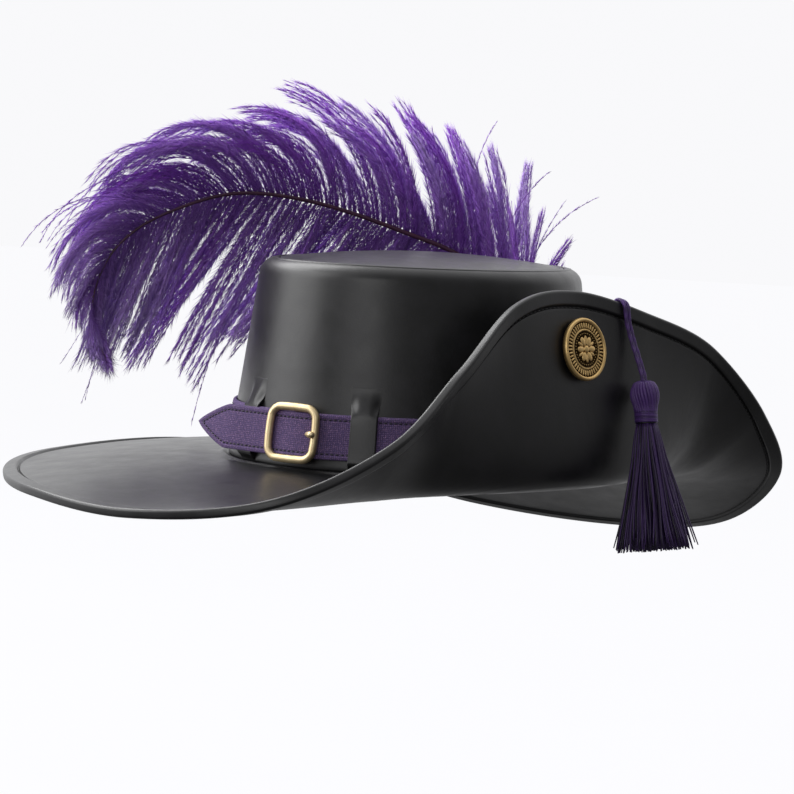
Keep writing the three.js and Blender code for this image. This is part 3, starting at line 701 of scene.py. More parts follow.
def sewing_thread(name, hex_colour):
    """Waxed sewing thread: plied, with short slanted glints of light painted into its colour."""
    material, tree, shader = new_finish(name, roughness=0.55, sheen_weight=0.2)
    place = add_node(tree, "ShaderNodeTexCoord").outputs["Object"]
    fibre_width = 0.3 * MM
    fibre = add_node(tree, "ShaderNodeTexNoise", [
        ("Vector", place), ("Scale", 1 / fibre_width), ("Detail", 2.0)])
    # Painted highlight: the fibre noise lightens the colour in glints and darkens it between them
    tint = add_node(tree, "ShaderNodeMapRange", [
        ("Value", fibre.outputs["Fac"]), ("To Min", 0.6), ("To Max", 1.5)])
    colour = add_node(tree, "ShaderNodeMix", [
        (0, 1.0), (6, linear(hex_colour)), (7, tint.outputs["Result"])],
        data_type="RGBA", blend_type="MULTIPLY")
    bump = add_node(tree, "ShaderNodeBump", [
        ("Height", fibre.outputs["Fac"]), ("Distance", 0.05 * MM), ("Strength", 0.5)])
    plug(tree, shader, [
        ("Base Color", colour.outputs[2]), ("Normal", bump.outputs["Normal"])])
    return material


def woven_strap():
    """Tightly woven cotton webbing: matte, its crossing threads uneven, with flecks of paler and
    redder thread, and painted shade in the weave's hollows with a painted highlight on its
    raised crossings. The threads follow the strap by its UV map, which is in metres."""
    strap = hat().strap
    material, tree, shader = new_finish("Cotton Webbing", roughness=0.82, sheen_weight=0.35)
    shader.inputs["Sheen Tint"].default_value = linear("#b49ae0")
    cloth = add_node(tree, "ShaderNodeUVMap", uv_map="UVMap").outputs["UV"]
    # The threads are drawn about twice as coarse as real ones, since finer ones don't show. A
    # wave at scale 1 repeats every pi / 10.
    thread_spacing, fleck_size, slub_length, fade_length = 1.0 * MM, 0.42 * MM, 0.9 * MM, 12 * MM
    warp, weft = (add_node(tree, "ShaderNodeTexWave", [
        ("Vector", cloth), ("Scale", math.pi / 10 / thread_spacing), ("Distortion", 3.0),
        ("Detail", 3.0), ("Detail Scale", 2.5)], bands_direction=axis) for axis in "XY")
    knots = add_node(tree, "ShaderNodeMath", [
        (0, warp.outputs["Fac"]), (1, weft.outputs["Fac"])], operation="MULTIPLY")
    fleck = add_node(tree, "ShaderNodeTexVoronoi", [
        ("Vector", cloth), ("Scale", 1 / fleck_size)])
    slub = add_node(tree, "ShaderNodeTexNoise", [
        ("Vector", cloth), ("Scale", 1 / slub_length), ("Detail", 4.0), ("Roughness", 0.75)])
    fade = add_node(tree, "ShaderNodeTexNoise", [
        ("Vector", cloth), ("Scale", 1 / fade_length), ("Detail", 3.0)])
    height = add_node(tree, "ShaderNodeMath", [
        (0, knots.outputs[0]), (1, 0.7), (2, slub.outputs["Fac"])], operation="MULTIPLY_ADD")
    # Painted shade and highlight: the colour is darkened where the weave lies low and lightened on
    # its raised crossings
    tint = add_node(tree, "ShaderNodeMapRange", [
        ("Value", height.outputs[0]), ("From Min", 0.35), ("From Max", 1.15),
        ("To Min", 0.4), ("To Max", 1.5)])
    shade = add_node(tree, "ShaderNodeSeparateColor", [("Color", fleck.outputs["Color"])])
    dye = add_node(tree, "ShaderNodeMix", [
        (0, fade.outputs["Fac"]), (6, linear(strap.colour)), (7, linear("#4d3a68"))],
        data_type="RGBA")
    dust = add_node(tree, "ShaderNodeMapRange", [
        ("Value", shade.outputs[0]), ("From Min", 0.55), ("From Max", 1.0), ("To Max", 0.4)])
    mixed = add_node(tree, "ShaderNodeMix", [
        (0, dust.outputs["Result"]), (6, dye.outputs[2]), (7, linear("#a882a8"))],
        data_type="RGBA")
    colour = add_node(tree, "ShaderNodeMix", [
        (0, 1.0), (6, mixed.outputs[2]), (7, tint.outputs["Result"])],
        data_type="RGBA", blend_type="MULTIPLY")
    bump = add_node(tree, "ShaderNodeBump", [
        ("Height", height.outputs[0]), ("Distance", 0.12 * MM), ("Strength", 0.7)])
    plug(tree, shader, [
        ("Base Color", colour.outputs[2]), ("Normal", bump.outputs["Normal"])])
    return material


def satin_brass():
    """Cast yellow brass, tumbled to a satin: pale, with soft wide highlights."""
    material, tree, shader = new_finish("Satin Brass", metallic=1.0)
    place = add_node(tree, "ShaderNodeTexCoord").outputs["Object"]
    cloud_width, dent_width = 5 * MM, 0.4 * MM
    cloud = add_node(tree, "ShaderNodeTexNoise", [
        ("Vector", place), ("Scale", 1 / cloud_width), ("Detail", 4.0)])
    tumble = add_node(tree, "ShaderNodeTexNoise", [
        ("Vector", place), ("Scale", 1 / dent_width), ("Detail", 2.0)])
    colour = add_node(tree, "ShaderNodeMix", [
        (0, cloud.outputs["Fac"]), (6, linear(hat().strap.brass)), (7, linear("#cdb68a"))],
        data_type="RGBA")
    gloss = add_node(tree, "ShaderNodeMapRange", [
        ("Value", cloud.outputs["Fac"]), ("To Min", 0.36), ("To Max", 0.5)])
    bump = add_node(tree, "ShaderNodeBump", [
        ("Height", tumble.outputs["Fac"]), ("Distance", 0.02 * MM), ("Strength", 0.4)])
    plug(tree, shader, [
        ("Base Color", colour.outputs[2]), ("Roughness", gloss.outputs["Result"]),
        ("Normal", bump.outputs["Normal"])])
    return material


def antique_brass():
    """Struck brass, darkened and rubbed back: bright on what stands up, brown in the recesses.
    The mesh says how deep each place lies."""
    trim = hat().trim
    material, tree, shader = new_finish("Antique Brass", metallic=1.0)
    place = add_node(tree, "ShaderNodeTexCoord").outputs["Object"]
    depth = add_node(tree, "ShaderNodeAttribute", attribute_name="recess").outputs["Fac"]
    stain_width = 1.6 * MM
    cloud = add_node(tree, "ShaderNodeTexNoise", [
        ("Vector", place), ("Scale", 1 / stain_width), ("Detail", 5.0), ("Roughness", 0.65)])
    stain = add_node(tree, "ShaderNodeMath", [
        (0, cloud.outputs["Fac"]), (1, 0.35), (2, depth)], operation="MULTIPLY_ADD")
    dark = add_node(tree, "ShaderNodeMapRange", [
        ("Value", stain.outputs[0]), ("From Min", 0.22), ("From Max", 0.95)])
    colour = add_node(tree, "ShaderNodeMix", [
        (0, dark.outputs["Result"]), (6, linear(trim.old_brass)), (7, linear(trim.tarnish))],
        data_type="RGBA")
    gloss = add_node(tree, "ShaderNodeMapRange", [
        ("Value", stain.outputs[0]), ("To Min", 0.38), ("To Max", 0.65)])
    bump = add_node(tree, "ShaderNodeBump", [
        ("Height", cloud.outputs["Fac"]), ("Distance", 0.05 * MM), ("Strength", 0.5)])
    plug(tree, shader, [
        ("Base Color", colour.outputs[2]), ("Roughness", gloss.outputs["Result"]),
        ("Normal", bump.outputs["Normal"])])
    return material


def rayon_thread():
    """Spun rayon: deep purple with a silky light along each strand, painted into its colour as
    painted sheen and shade that differ from strand to strand by the value that the mesh holds."""
    trim = hat().trim
    material, tree, shader = new_finish("Rayon Thread", roughness=0.42, sheen_weight=0.3)
    shader.inputs["Sheen Tint"].default_value = linear("#7a5fb4")
    place = add_node(tree, "ShaderNodeTexCoord").outputs["Object"]
    strand = add_node(tree, "ShaderNodeAttribute", attribute_name="strand").outputs["Fac"]
    fibre_width = 0.6 * MM
    fibre = add_node(tree, "ShaderNodeTexNoise", [
        ("Vector", place), ("Scale", 1 / fibre_width), ("Detail", 2.0)])
    # Painted sheen and shade: the mesh's value darkens or lightens each strand's colour
    shade = add_node(tree, "ShaderNodeMath", [
        (0, fibre.outputs["Fac"]), (1, 0.4), (2, strand)], operation="MULTIPLY_ADD")
    colour = add_node(tree, "ShaderNodeMix", [
        (0, shade.outputs[0]), (6, linear("#0b0610")), (7, linear(trim.colour))],
        data_type="RGBA")
    plug(tree, shader, [("Base Color", colour.outputs[2])])
    return material


def dyed_feather():
    """Dyed ostrich feather: matte and downy, dark at the shaft and paler at the tips, from values
    that the mesh holds for each barb. The pale tips are a painted light shining through the
    thin barbs, and the barbs' values also carry painted light and shade."""
    plume = hat().plume
    material, tree, shader = new_finish("Dyed Ostrich Feather", roughness=0.6, sheen_weight=0.5)
    shader.inputs["Sheen Tint"].default_value = linear("#a98ae6")
    along = add_node(tree, "ShaderNodeAttribute", attribute_name="along").outputs["Fac"]
    strand = add_node(tree, "ShaderNodeAttribute", attribute_name="strand").outputs["Fac"]
    near = add_node(tree, "ShaderNodeMapRange", [
        ("Value", along), ("From Min", 0.0), ("From Max", 0.75)])
    body = add_node(tree, "ShaderNodeMix", [
        (0, near.outputs["Result"]), (6, linear(plume.deep)), (7, linear(plume.colour))],
        data_type="RGBA")
    # Painted light: the barbs pale towards the tips' colour as if lit through
    pale = add_node(tree, "ShaderNodeMath", [(0, along), (1, strand)], operation="MULTIPLY")
    colour = add_node(tree, "ShaderNodeMix", [
        (0, pale.outputs[0]), (6, body.outputs[2]), (7, linear(plume.light))],
        data_type="RGBA")
    plug(tree, shader, [("Base Color", colour.outputs[2])])
    return material


def dyed_quill():
    """Dyed horn of the quill: a dark red purple with a dull shine."""
    material, tree, shader = new_finish("Dyed Quill", roughness=0.45)
    place = add_node(tree, "ShaderNodeTexCoord").outputs["Object"]
    stain_length = 9 * MM
    stain = add_node(tree, "ShaderNodeTexNoise", [
        ("Vector", place), ("Scale", 1 / stain_length), ("Detail", 3.0)])
    colour = add_node(tree, "ShaderNodeMix", [
        (0, stain.outputs["Fac"]), (6, linear("#2a1230")), (7, linear("#5a2f48"))],
        data_type="RGBA")
    plug(tree, shader, [("Base Color", colour.outputs[2])])
    return material


def matte_paper(name, hex_colour):
    """Seamless studio paper: matte, with the faintest cloudiness, and a glow of its own that
    makes it as pale as the room behind it."""
    material, tree, shader = new_finish(
        name, roughness=0.9, specular_ior_level=0.0, emission_color=linear("#fbfbfd"),
        emission_strength=0.975)
    place = add_node(tree, "ShaderNodeTexCoord").outputs["Object"]
    cloud = add_node(tree, "ShaderNodeTexNoise", [("Vector", place), ("Scale", 3.0)])
    colour = add_node(tree, "ShaderNodeMix", [
        (0, cloud.outputs["Fac"]), (6, linear(hex_colour)), (7, linear("#2c2c30"))],
        data_type="RGBA")
    plug(tree, shader, [("Base Color", colour.outputs[2])])
    return material


def finish_of(maker):
    """A finish that several pieces share, made once."""
    made = bpy.data.materials.get(maker.__name__)
    if made is None:
        made = maker()
        made.name = maker.__name__
    return made


# Stage


class HAT_OT_stage(Operator):
    """Set up the camera, the pale floor and the soft light"""

    bl_idname = "hat.stage"
    bl_label = "Stage"

    def execute(self, context):
        stage = hat().stage
        self.add_camera(context, stage)
        self.add_floor(stage)
        self.add_lights(context)
        return {"FINISHED"}

    def add_camera(self, context, stage):
        """The camera, aimed beside the hat's axis and turned about its own view."""
        azimuth = math.radians(stage.azimuth)
        right = Vector((math.cos(azimuth), math.sin(azimuth), 0))
        eye = Vector((math.sin(azimuth), -math.cos(azimuth), 0)) * stage.distance
        eye.z = stage.height
        target = right * stage.aim_right + Vector((0, 0, stage.aim_up))
        data = bpy.data.cameras.new("camera")
        data.angle = math.radians(stage.field)
        data.clip_start = 0.05
        camera = bpy.data.objects.new("camera", data)
        context.scene.collection.objects.link(camera)
        context.scene.view_settings.view_transform = "Standard"
        camera.matrix_world = (
            Matrix.Translation(eye) @ (target - eye).to_track_quat("-Z", "Y").to_matrix().to_4x4()
            @ Matrix.Rotation(math.radians(stage.roll), 4, "Z"))
        context.scene.camera = camera

    def add_floor(self, stage):
        """A wide floor that is seen but neither lights the hat from below nor shines in it."""
        pick_none()
        bpy.ops.mesh.primitive_circle_add(
            vertices=96, radius=9.0, fill_type="NGON", location=(0, 0, -stage.floor_drop))
        floor = bpy.context.object
        floor.name = "floor"
        settle(floor)
        floor.data.materials.append(matte_paper("Studio Paper", stage.floor_colour))
        floor.visible_diffuse = False
        floor.visible_glossy = False

    def add_lights(self, context):
        """A white room whose light falls off towards one side and below, and that the camera
        sees evenly pale, with three large soft lamps."""
        stage = hat().stage
        world = bpy.data.worlds.new("studio")
        context.scene.world = world
        world.use_nodes = True
        tree = world.node_tree
        azimuth = math.radians(stage.azimuth + stage.bright_side)
        bright = (-math.sin(azimuth), math.cos(azimuth), 0.5)
        way = add_node(tree, "ShaderNodeTexCoord").outputs["Generated"]
        facing = add_node(
            tree, "ShaderNodeVectorMath", [(0, way), (1, bright)], operation="DOT_PRODUCT")
        level = add_node(tree, "ShaderNodeMapRange", [
            ("Value", facing.outputs["Value"]), ("From Min", -0.35), ("From Max", 0.6),
            ("To Min", stage.dark_room), ("To Max", stage.bright_room)],
            interpolation_type="SMOOTHSTEP")
        upright = add_node(tree, "ShaderNodeSeparateXYZ", [(0, way)]).outputs["Z"]
        below = add_node(tree, "ShaderNodeMapRange", [
            ("Value", upright), ("From Min", -0.45), ("From Max", -0.03), ("To Min", 0.35)])
        room = add_node(tree, "ShaderNodeMath", [
            (0, level.outputs["Result"]), (1, below.outputs["Result"])], operation="MULTIPLY")
        seen = add_node(tree, "ShaderNodeLightPath").outputs["Is Camera Ray"]
        strength = add_node(tree, "ShaderNodeMix", [
            ("Factor", seen), ("A", room.outputs[0]), ("B", 0.98)])
        plug(tree, tree.nodes["Background"], [
            ("Color", linear("#fbfbfd")), ("Strength", strength.outputs["Result"])])
        lamps = [
            ("key", (-1.15, -1.4, 0.85), 1.6, 21),
            ("top", (-1.3, -0.1, 1.5), 1.4, 29),
            ("fill", (0.9, -1.9, 0.7), 1.0, 6),
        ]
        for name, place, size, power in lamps:
            lamp = bpy.data.lights.new(name, "AREA")
            lamp.size = size
            lamp.energy = power
            holder = bpy.data.objects.new(name, lamp)
            context.scene.collection.objects.link(holder)
            aim = Vector((0, 0, 0.05)) - Vector(place)
            holder.location = place
            holder.rotation_mode = "QUATERNION"
            holder.rotation_quaternion = aim.to_track_quat("-Z", "Y")


# Cords and tassel


def cord_route(beside):
    """Centreline points of one cord: from the anchor on the inner face round the hem, down the
    outer face and to the tassel's ball. beside is -1 for the front cord and 1 for the rear."""
    leather, trim = hat().leather, hat().trim
    edge = brim_middle(np.linspace(0, 1, 41), [0.0])[:, 0]
    around = np.linalg.norm(np.diff(edge, axis=0), axis=1).sum()
    off = trim.cord_diameter / 2 + SEAT
    lane_off = beside * trim.cord_pitch / 2 / around

    def on_face(from_edge, face, wall, slant, stand=off):
        """A point off one face, where the cord has gone a share of its slant."""
        place = trim.cord_round + trim.cord_slant * slant + lane_off
        middle, upper, _out = brim_face(place, from_edge)
        return middle + upper * face * (wall / 2 + stand)

    middle, upper, out = brim_face(trim.cord_round + lane_off, leather.hem_wall / 2)
    round_hem = leather.hem_wall / 2 + off + SEAT
    over = [
        middle + upper * round_hem * math.sin(math.radians(angle))
        + out * round_hem * math.cos(math.radians(angle)) for angle in (90, 45, 0, -45, -90)]
    return [
        on_face(trim.cord_tail - SEAT, 1, leather.brim_wall, -0.2),
        on_face(leather.hem_width + 3 * MM, 1, leather.hem_wall, -0.1),
        *over,
        on_face(leather.hem_width + 1 * MM, -1, leather.hem_wall, 0.15),
        on_face(trim.cord_drop * 0.5, -1, leather.brim_wall, 0.8, off + 2.2 * MM),
        on_face(trim.cord_drop * 0.75, -1, leather.brim_wall, 1.0, trim.tassel_ball * 0.4),
        on_face(trim.cord_drop, -1, leather.brim_wall, 1, trim.tassel_ball / 2 + 3 * SEAT),
    ]


def tassel_axis():
    """The tassel's top and the way that it hangs."""
    leather, trim = hat().leather, hat().trim
    top = (cord_route(-1)[-1] + cord_route(1)[-1]) / 2
    beside, _upper, _out = brim_face(trim.cord_round + trim.cord_slant, leather.flap_height * 0.6)
    face = beside[0] + 1.4 * leather.brim_wall
    way = unit(np.array([
        face + SEAT + trim.tassel_spread / 2 - top[0], trim.tassel_swing, -trim.tassel_length]))
    return top + way * 3 * SEAT, way


class HAT_OT_cords(Operator):
    """Make the two twisted cords and the tassel on them"""

    bl_idname = "hat.cords"
    bl_label = "Cords and Tassel"

    def execute(self, context):
        trim = hat().trim
        tassel = self.add_tassel(trim)
        top, way = tassel_axis()
        # The cords run on inside the ball and neck as far as this, each towards the middle
        inside = 34 * MM
        for number, beside in ((1, -1), (2, 1)):
            route = cord_route(beside)
            spread = route[-1] - top
            for share in (0.35, 0.7, 1.0):
                route.append(top + way * inside * share + spread * (1 - share) * 0.4)
            path = smooth_path(route, 110)
            cord = self.add_cord(f"tassel_cord_{number}", path, trim, beside)
        return {"FINISHED"}

    def add_cord(self, name, path, trim, beside):
        """A two-ply cord, twisted left or right, with painted shade in the twist's hollows."""
        run = np.linspace(0, np.linalg.norm(np.diff(path, axis=0), axis=1).sum(), len(path))
        turn = 2 * math.pi * run / trim.cord_lay * beside
        sides = 16
        points, faces = tubes(
            path[None], trim.cord_diameter / 2 * 0.94, sides, np.array([0.0, 1.0, 0.0]),
            twist=turn / 2, lobes=0.1)
        # Painted shade: the colour darkens in the twist's hollows
        strand = np.repeat(0.55 + 0.25 * np.cos(turn), sides)
        cord = mesh_piece(name, points, faces, tones={"strand": strand})
        return show(cord, "cord", finish_of(rayon_thread), name)

    def add_tassel(self, trim):
        """Ball of looped thread, bound neck, and a skirt of strands."""
        rng = np.random.default_rng(11)
        top, way = tassel_axis()
        deep = unit(np.array([1.0, 0, 0]) - way * way[0])
        wide = np.cross(way, deep)
        ball, neck = trim.tassel_ball / 2, trim.tassel_neck / 2
        neck_end = trim.tassel_ball * 0.85 + trim.neck_length
        parts, tones = [], []

        def placed(down, out, angle):
            """Points at distances down the axis, and out from it at an angle."""
            down, out, angle = np.broadcast_arrays(down, out, angle)
            return (
                top + way * down[..., None] + wide * (out * np.cos(angle))[..., None]
                + deep * (out * np.sin(angle))[..., None])

        def keep(paths, radii, sides, shade):
            """Adds bars to the tassel, each with its own tone of painted sheen and shade."""
            points, faces = tubes(paths, radii, sides, wide * 0.31 + deep * 0.72 + way * 0.05)
            parts.append((points, faces))
            tones.append(np.repeat(shade, paths.shape[1] * sides))

        # The ball's threads run from its top over its widest place into the neck
        loops = 26
        share = np.linspace(0, 1, 15)
        down = np.interp(
            share, [0, 0.12, 0.45, 0.75, 1], np.array([0.1, 0.14, 0.52, 0.86, 1.2]) * 2 * ball)
        out = np.interp(
            share, [0, 0.06, 0.14, 0.26, 0.45, 0.62, 0.8, 1],
            np.array([0.1, 0.4, 0.65, 0.83, 0.92, 0.87, 0.74, 0.68]) * ball)
        angle = np.arange(loops)[:, None] * 2 * math.pi / loops + 0.1 * share * 4
        paths = placed(down + rng.normal(0, 0.12 * MM, (loops, 1)), out, angle)
        # Each loop's tone is a painted sheen that differs from loop to loop
        keep(paths, 0.8 * MM, 7, rng.uniform(0.5, 1.1, loops))
        # The core under the loops is near black: painted shade between the loops
        core = placed(np.array([[0.8, 3, 8, 14, 24, 34]]) * MM, 0.0, 0.0)
        keep(core, np.array([2.5, 5.2, 5.9, 4.8, 4.6, 4]) * MM, 14, np.array([0.1]))

        # The neck's binding is one thread wound closely, pulled tight at its lower end
        winds = 13
        spin = np.linspace(0, 2 * math.pi * winds, winds * 20)
        binding = placed(
            neck_end - trim.neck_length + spin / spin[-1] * (trim.neck_length - 0.6 * MM),
            neck + 0.1 * MM - 0.9 * MM * smoothstep(spin / spin[-1], 0.86, 1.0), spin)[None]
        way_round = unit(np.gradient(binding, axis=1))
        side = unit(np.cross(way_round, way))
        sides = 6
        angles = np.arange(sides) * 2 * math.pi / sides
        ring = (
            side[:, :, None] * np.cos(angles)[:, None] + way * np.sin(angles)[:, None]) * 0.5 * MM
        points = (binding[:, :, None] + ring).reshape(-1, 3)
        cap = np.arange(sides)[None]
        skin = grid_faces(len(spin), sides, loop_columns=True)[:, ::-1]
        parts.append((points, [skin, cap, (cap + (len(spin) - 1) * sides)[:, ::-1]]))
        # The binding's tone is a painted sheen that waves along it, and its last tight turns are
        # near black: painted shade where it meets the skirt
        tones.append(np.repeat(np.where(
            spin < 0.88 * spin[-1], 0.55 + 0.3 * np.cos(spin * 0.7), -0.3), sides))

        # The skirt's strands leave the neck close together and spread out, the outer ones most
        count = trim.strands
        layer = np.sqrt(rng.uniform(0.02, 1, count))
        around = rng.uniform(0, 2 * math.pi, count)
        fall = np.linspace(0, 1, 12)[None]
        length = trim.tassel_length - neck_end + 3.5 * MM - rng.gamma(1.6, 1.1 * MM, count)
        flare = np.interp(fall, [0, 0.12, 0.3, 0.6, 1], [0.24, 0.34, 0.44, 0.68, 0.97])
        bend = rng.normal(0, 0.07, (count, 1)) * fall**2
        out = layer[:, None] * trim.tassel_spread / 2 * (flare + bend)
        wander = (
            rng.normal(0, 0.1, (count, 1)) * fall
            + 0.04 * np.sin(fall * 7 + around[:, None] * 5))
        paths = placed(neck_end - 1.5 * MM + fall * length[:, None], out, around[:, None] + wander)
        radii = np.interp(fall[0], [0, 0.9, 1], [0.42, 0.42, 0.3]) * MM
        # The skirt's strands are darker than the ball's loops: painted shade among the strands
        keep(paths, radii, 5, rng.uniform(-0.25, 0.5, count))

        tassel = mesh_piece(
            "tassel_strands", *join_sets(parts), tones={"strand": np.concatenate(tones)})
        return show(tassel, "cord", finish_of(rayon_thread), "tassel")


# Leather


class HAT_OT_crown(Operator):
    """Model the moulded crown with its rounded edge and domed panel"""

    bl_idname = "hat.crown"
    bl_label = "Crown"

    def execute(self, context):
        leather = hat().leather
        slope = wall_slope()
        shoulder = leather.height - leather.edge_radius
        wall = np.array([0.0002, 0.02, 0.1, 0.3, 0.55, 0.8, 1.0]) * shoulder
        rows = [(z * slope, z, 1) for z in wall]
        for angle in np.radians([12, 25, 38, 52, 66, 80, 90]):
            rows.append((
                shoulder * slope + leather.edge_radius * (1 - math.cos(angle)),
                shoulder + leather.edge_radius * math.sin(angle), 1))
        seam = leather.panel_inset + leather.edge_radius * 0.5
        top = leather.height
        groove = top - leather.panel_groove
        rows += [
            (seam - 2.2 * MM, top - 0.1 * MM, 1), (seam - 0.9 * MM, top - 0.5 * MM, 1),
            (seam - 0.3 * MM, groove, 1), (seam + 0.3 * MM, groove, 1),
            (seam + 0.8 * MM, top - 0.3 * MM, 1), (seam + 1.8 * MM, top + 0.1 * MM, 1)]
        for share in (0.93, 0.8, 0.6, 0.4, 0.2, 0.05):
            rows.append((seam + 1.8 * MM, top + leather.panel_rise * (1 - share * share), share))
        crown = self.extrude_rings(rows)
        add_modifier(crown, "SOLIDIFY", thickness=leather.wall, offset=-1.0)
        add_modifier(crown, "SUBSURF", levels=1, render_levels=1)
        crown.data.shade_smooth()
        show(crown, "leather", finish_of(waxed_leather), "crown")
        return {"FINISHED"}

    def extrude_rings(self, rows):
        """A circle drawn up through rings, each an inset, a height and a share of its oval."""
        leather = hat().leather
        pick_none()
        bpy.ops.mesh.primitive_circle_add(vertices=96, radius=1.0, fill_type="NOTHING")
        crown = bpy.context.object
        crown.name = "crown_leather"
        bpy.ops.object.mode_set(mode="EDIT")
        bpy.ops.mesh.select_all(action="SELECT")
        size, height = (1.0, 1.0), 0.0
        for number, (inset, z, share) in enumerate(rows):
            if number:
                bpy.ops.mesh.extrude_edges_move()
            goal = ((leather.half_width - inset) * share, (leather.half_length - inset) * share)
            bpy.ops.transform.translate(value=(0, 0, z - height))
            bpy.ops.transform.resize(
                value=(goal[0] / size[0], goal[1] / size[1], 1), center_override=(0, 0, z))
            size, height = goal, z
        bpy.ops.mesh.edge_face_add()
        bpy.ops.mesh.select_all(action="SELECT")
        bpy.ops.mesh.normals_make_consistent(inside=False)
        bpy.ops.object.mode_set(mode="OBJECT")
        return crown


def hem_half(from_edge):
    """Half the leather's thickness at distances from the edge: a folded hem with rubbed corners,
    a stitched groove inside it and then the plain brim."""
    leather = hat().leather
    thick, plain = leather.hem_wall / 2, leather.brim_wall / 2
    corner = leather.hem_corner
    nose = thick - corner + np.sqrt(
        np.clip(corner**2 - np.clip(corner - from_edge, 0, corner)**2, 0, None))
    roll = smoothstep(from_edge, leather.hem_width - 1.5 * MM, leather.hem_width - 0.3 * MM)
    rise = smoothstep(from_edge, leather.hem_width + 0.2 * MM, leather.hem_width + 0.8 * MM)
    floor = plain - leather.groove_depth
    return np.where(
        from_edge < leather.hem_width, nose * (1 - roll) + floor * roll,
        floor * (1 - rise) + plain * rise)


class HAT_OT_brim(Operator):
    """Model the brim with its rolled hem and the stitches in its groove"""

    bl_idname = "hat.brim"
    bl_label = "Brim"

    def execute(self, context):
        leather = hat().leather
        around = 504
        share = np.arange(around) / around
        _lines, distance, turns = brim_lines(share)
        length = distance[:, :1]
        # Distances from the edge over the hem, and from the crown near the crown
        hem = np.array([
            0.001, 0.06, 0.2, 0.45, 0.8, 1.3, 2.0, 3.6, 5.4, 6.6, 7.1, 7.5, 7.9, 8.2, 8.5, 8.75,
            9.0, 9.2, 9.5, 10.3, 12.5]) * MM
        plain = np.linspace(0, 1, 21)[1:]
        near = np.array([5.2, 4.2, 3.6, 3.0, 2.6, 2.2, 1.6, 1.0, 0.4, 0]) * MM
        stations = np.concatenate([
            np.repeat(hem[None], around, 0), hem[-1] + (length - 6.5 * MM - hem[-1]) * plain,
            length - near], 1)
        middle = brim_middle(share, stations)
        wrapped = np.concatenate([middle[-2:], middle, middle[:2]])
        along = np.gradient(wrapped, axis=0)[2:-2]
        out = -np.gradient(middle, axis=1)
        upper = unit(np.cross(out, along))
        upper[:, -1] = (0, 0, 1)
        half = hem_half(stations)[..., None]
        from_crown = (length - stations)[..., None]
        lip = leather.lip * np.exp(-((from_crown - 2.6 * MM) / (1.5 * MM))**2)
        top, below = middle + upper * (half + lip), middle - upper * half
        ledge = oval(turns, leather.wall, -leather.brim_wall / 2)
        rise = np.array([0, 0, leather.brim_wall / 2])
        tip = brim_middle(share, [0.0])
        rings = np.concatenate([
            tip, top, (ledge + rise)[:, None], (ledge - rise)[:, None], below[:, ::-1]], 1)
        rows, columns = rings.shape[:2]
        brim = mesh_piece(
            "brim_leather", rings.reshape(-1, 3),
            [grid_faces(rows, columns, loop_rows=True, loop_columns=True)[:, ::-1]])
        self.drill(brim)
        show(brim, "leather", finish_of(waxed_leather), "brim")
        self.add_stitches(leather)
        return {"FINISHED"}

    def drill(self, brim):
        """Bores the hole of the button's shank through the leather."""
        middle, outward = button_seat()
        bore_radius, depth = 1.9 * MM, 12 * MM
        pick_none()
        bpy.ops.mesh.primitive_cylinder_add(vertices=24, radius=bore_radius, depth=depth)
        bore = bpy.context.object
        settle(bore, seat_matrix(middle, outward))
        add_modifier(brim, "BOOLEAN", operation="DIFFERENCE", object=bore, solver="EXACT")
        bpy.data.objects.remove(bore)

    def add_stitches(self, leather):
        """Short threads laid end to end in the groove of both faces."""
        dense = np.arange(1400) / 1400
        line = brim_middle(dense, [leather.hem_width + 0.15 * MM])[:, 0]
        run = np.concatenate([[0], np.cumsum(np.linalg.norm(np.diff(line, axis=0), axis=1))])
        count = int(run[-1] / leather.stitch_pitch)
        share = np.interp(
            (np.arange(count)[:, None] + np.linspace(0.14, 0.86, 4)) / count * run[-1], run, dense)
        flat = share.ravel()
        nudge = 0.001
        wide = brim_middle(
            np.concatenate([flat - nudge, flat, flat + nudge]),
            leather.hem_width + np.array([-0.85, 0.15, 1.15]) * MM)
        before, here, after = np.split(wide, 3)
        upper = unit(np.cross(here[:, 0] - here[:, 2], after[:, 1] - before[:, 1]))
        sunk = leather.brim_wall / 2 - 0.75 * MM
        parts = []
        for face in (1, -1):
            paths = (here[:, 1] + upper * face * sunk).reshape(count, 4, 3)
            parts.append(tubes(paths, HEM_THREAD, 5, upper.reshape(count, 4, 3)))
        stitches = mesh_piece("hem_stitches", *join_sets(parts))
        show(stitches, "leather", sewing_thread("Black Waxed Thread", "#141416"))


def strap_stations():
    """The strap's run: turns on the crown, distances past the buckle and stand-offs."""
    strap, plume = hat().strap, hat().plume
    degree = turn_for(1.0, strap.buckle_turn)
    start = strap.buckle_turn - degree * (strap.buckle_bar / 2 + SEAT)
    join = strap.buckle_turn - 360 + degree * 45 * MM
    tip = strap.buckle_width / 2 + strap.end
    past = np.concatenate([
        np.arange(-45 * MM, tip - strap.point - 0.5 * MM, 1.5 * MM),
        tip - strap.point * (1 - np.linspace(0, 1, 34))**1.3])
    turns = np.concatenate([np.arange(start, join, -1.1), strap.buckle_turn - 360 - degree * past])
    past = np.concatenate([np.full(len(turns) - len(past), -45 * MM), past])
    away = np.abs((turns - plume.turn) % 360 - 360 * ((turns - plume.turn) % 360 > 180))
    lift = (plume.quill + 4 * SEAT) * (1 - smoothstep(away, 6, 18))
    shifts = np.linspace(-6, 6, 13) * MM
    off = np.mean([np.interp(past + shift, STRAP_PAST, STRAP_OFF) for shift in shifts], 0)
    return turns, past, SEAT + strap.wall * off + lift


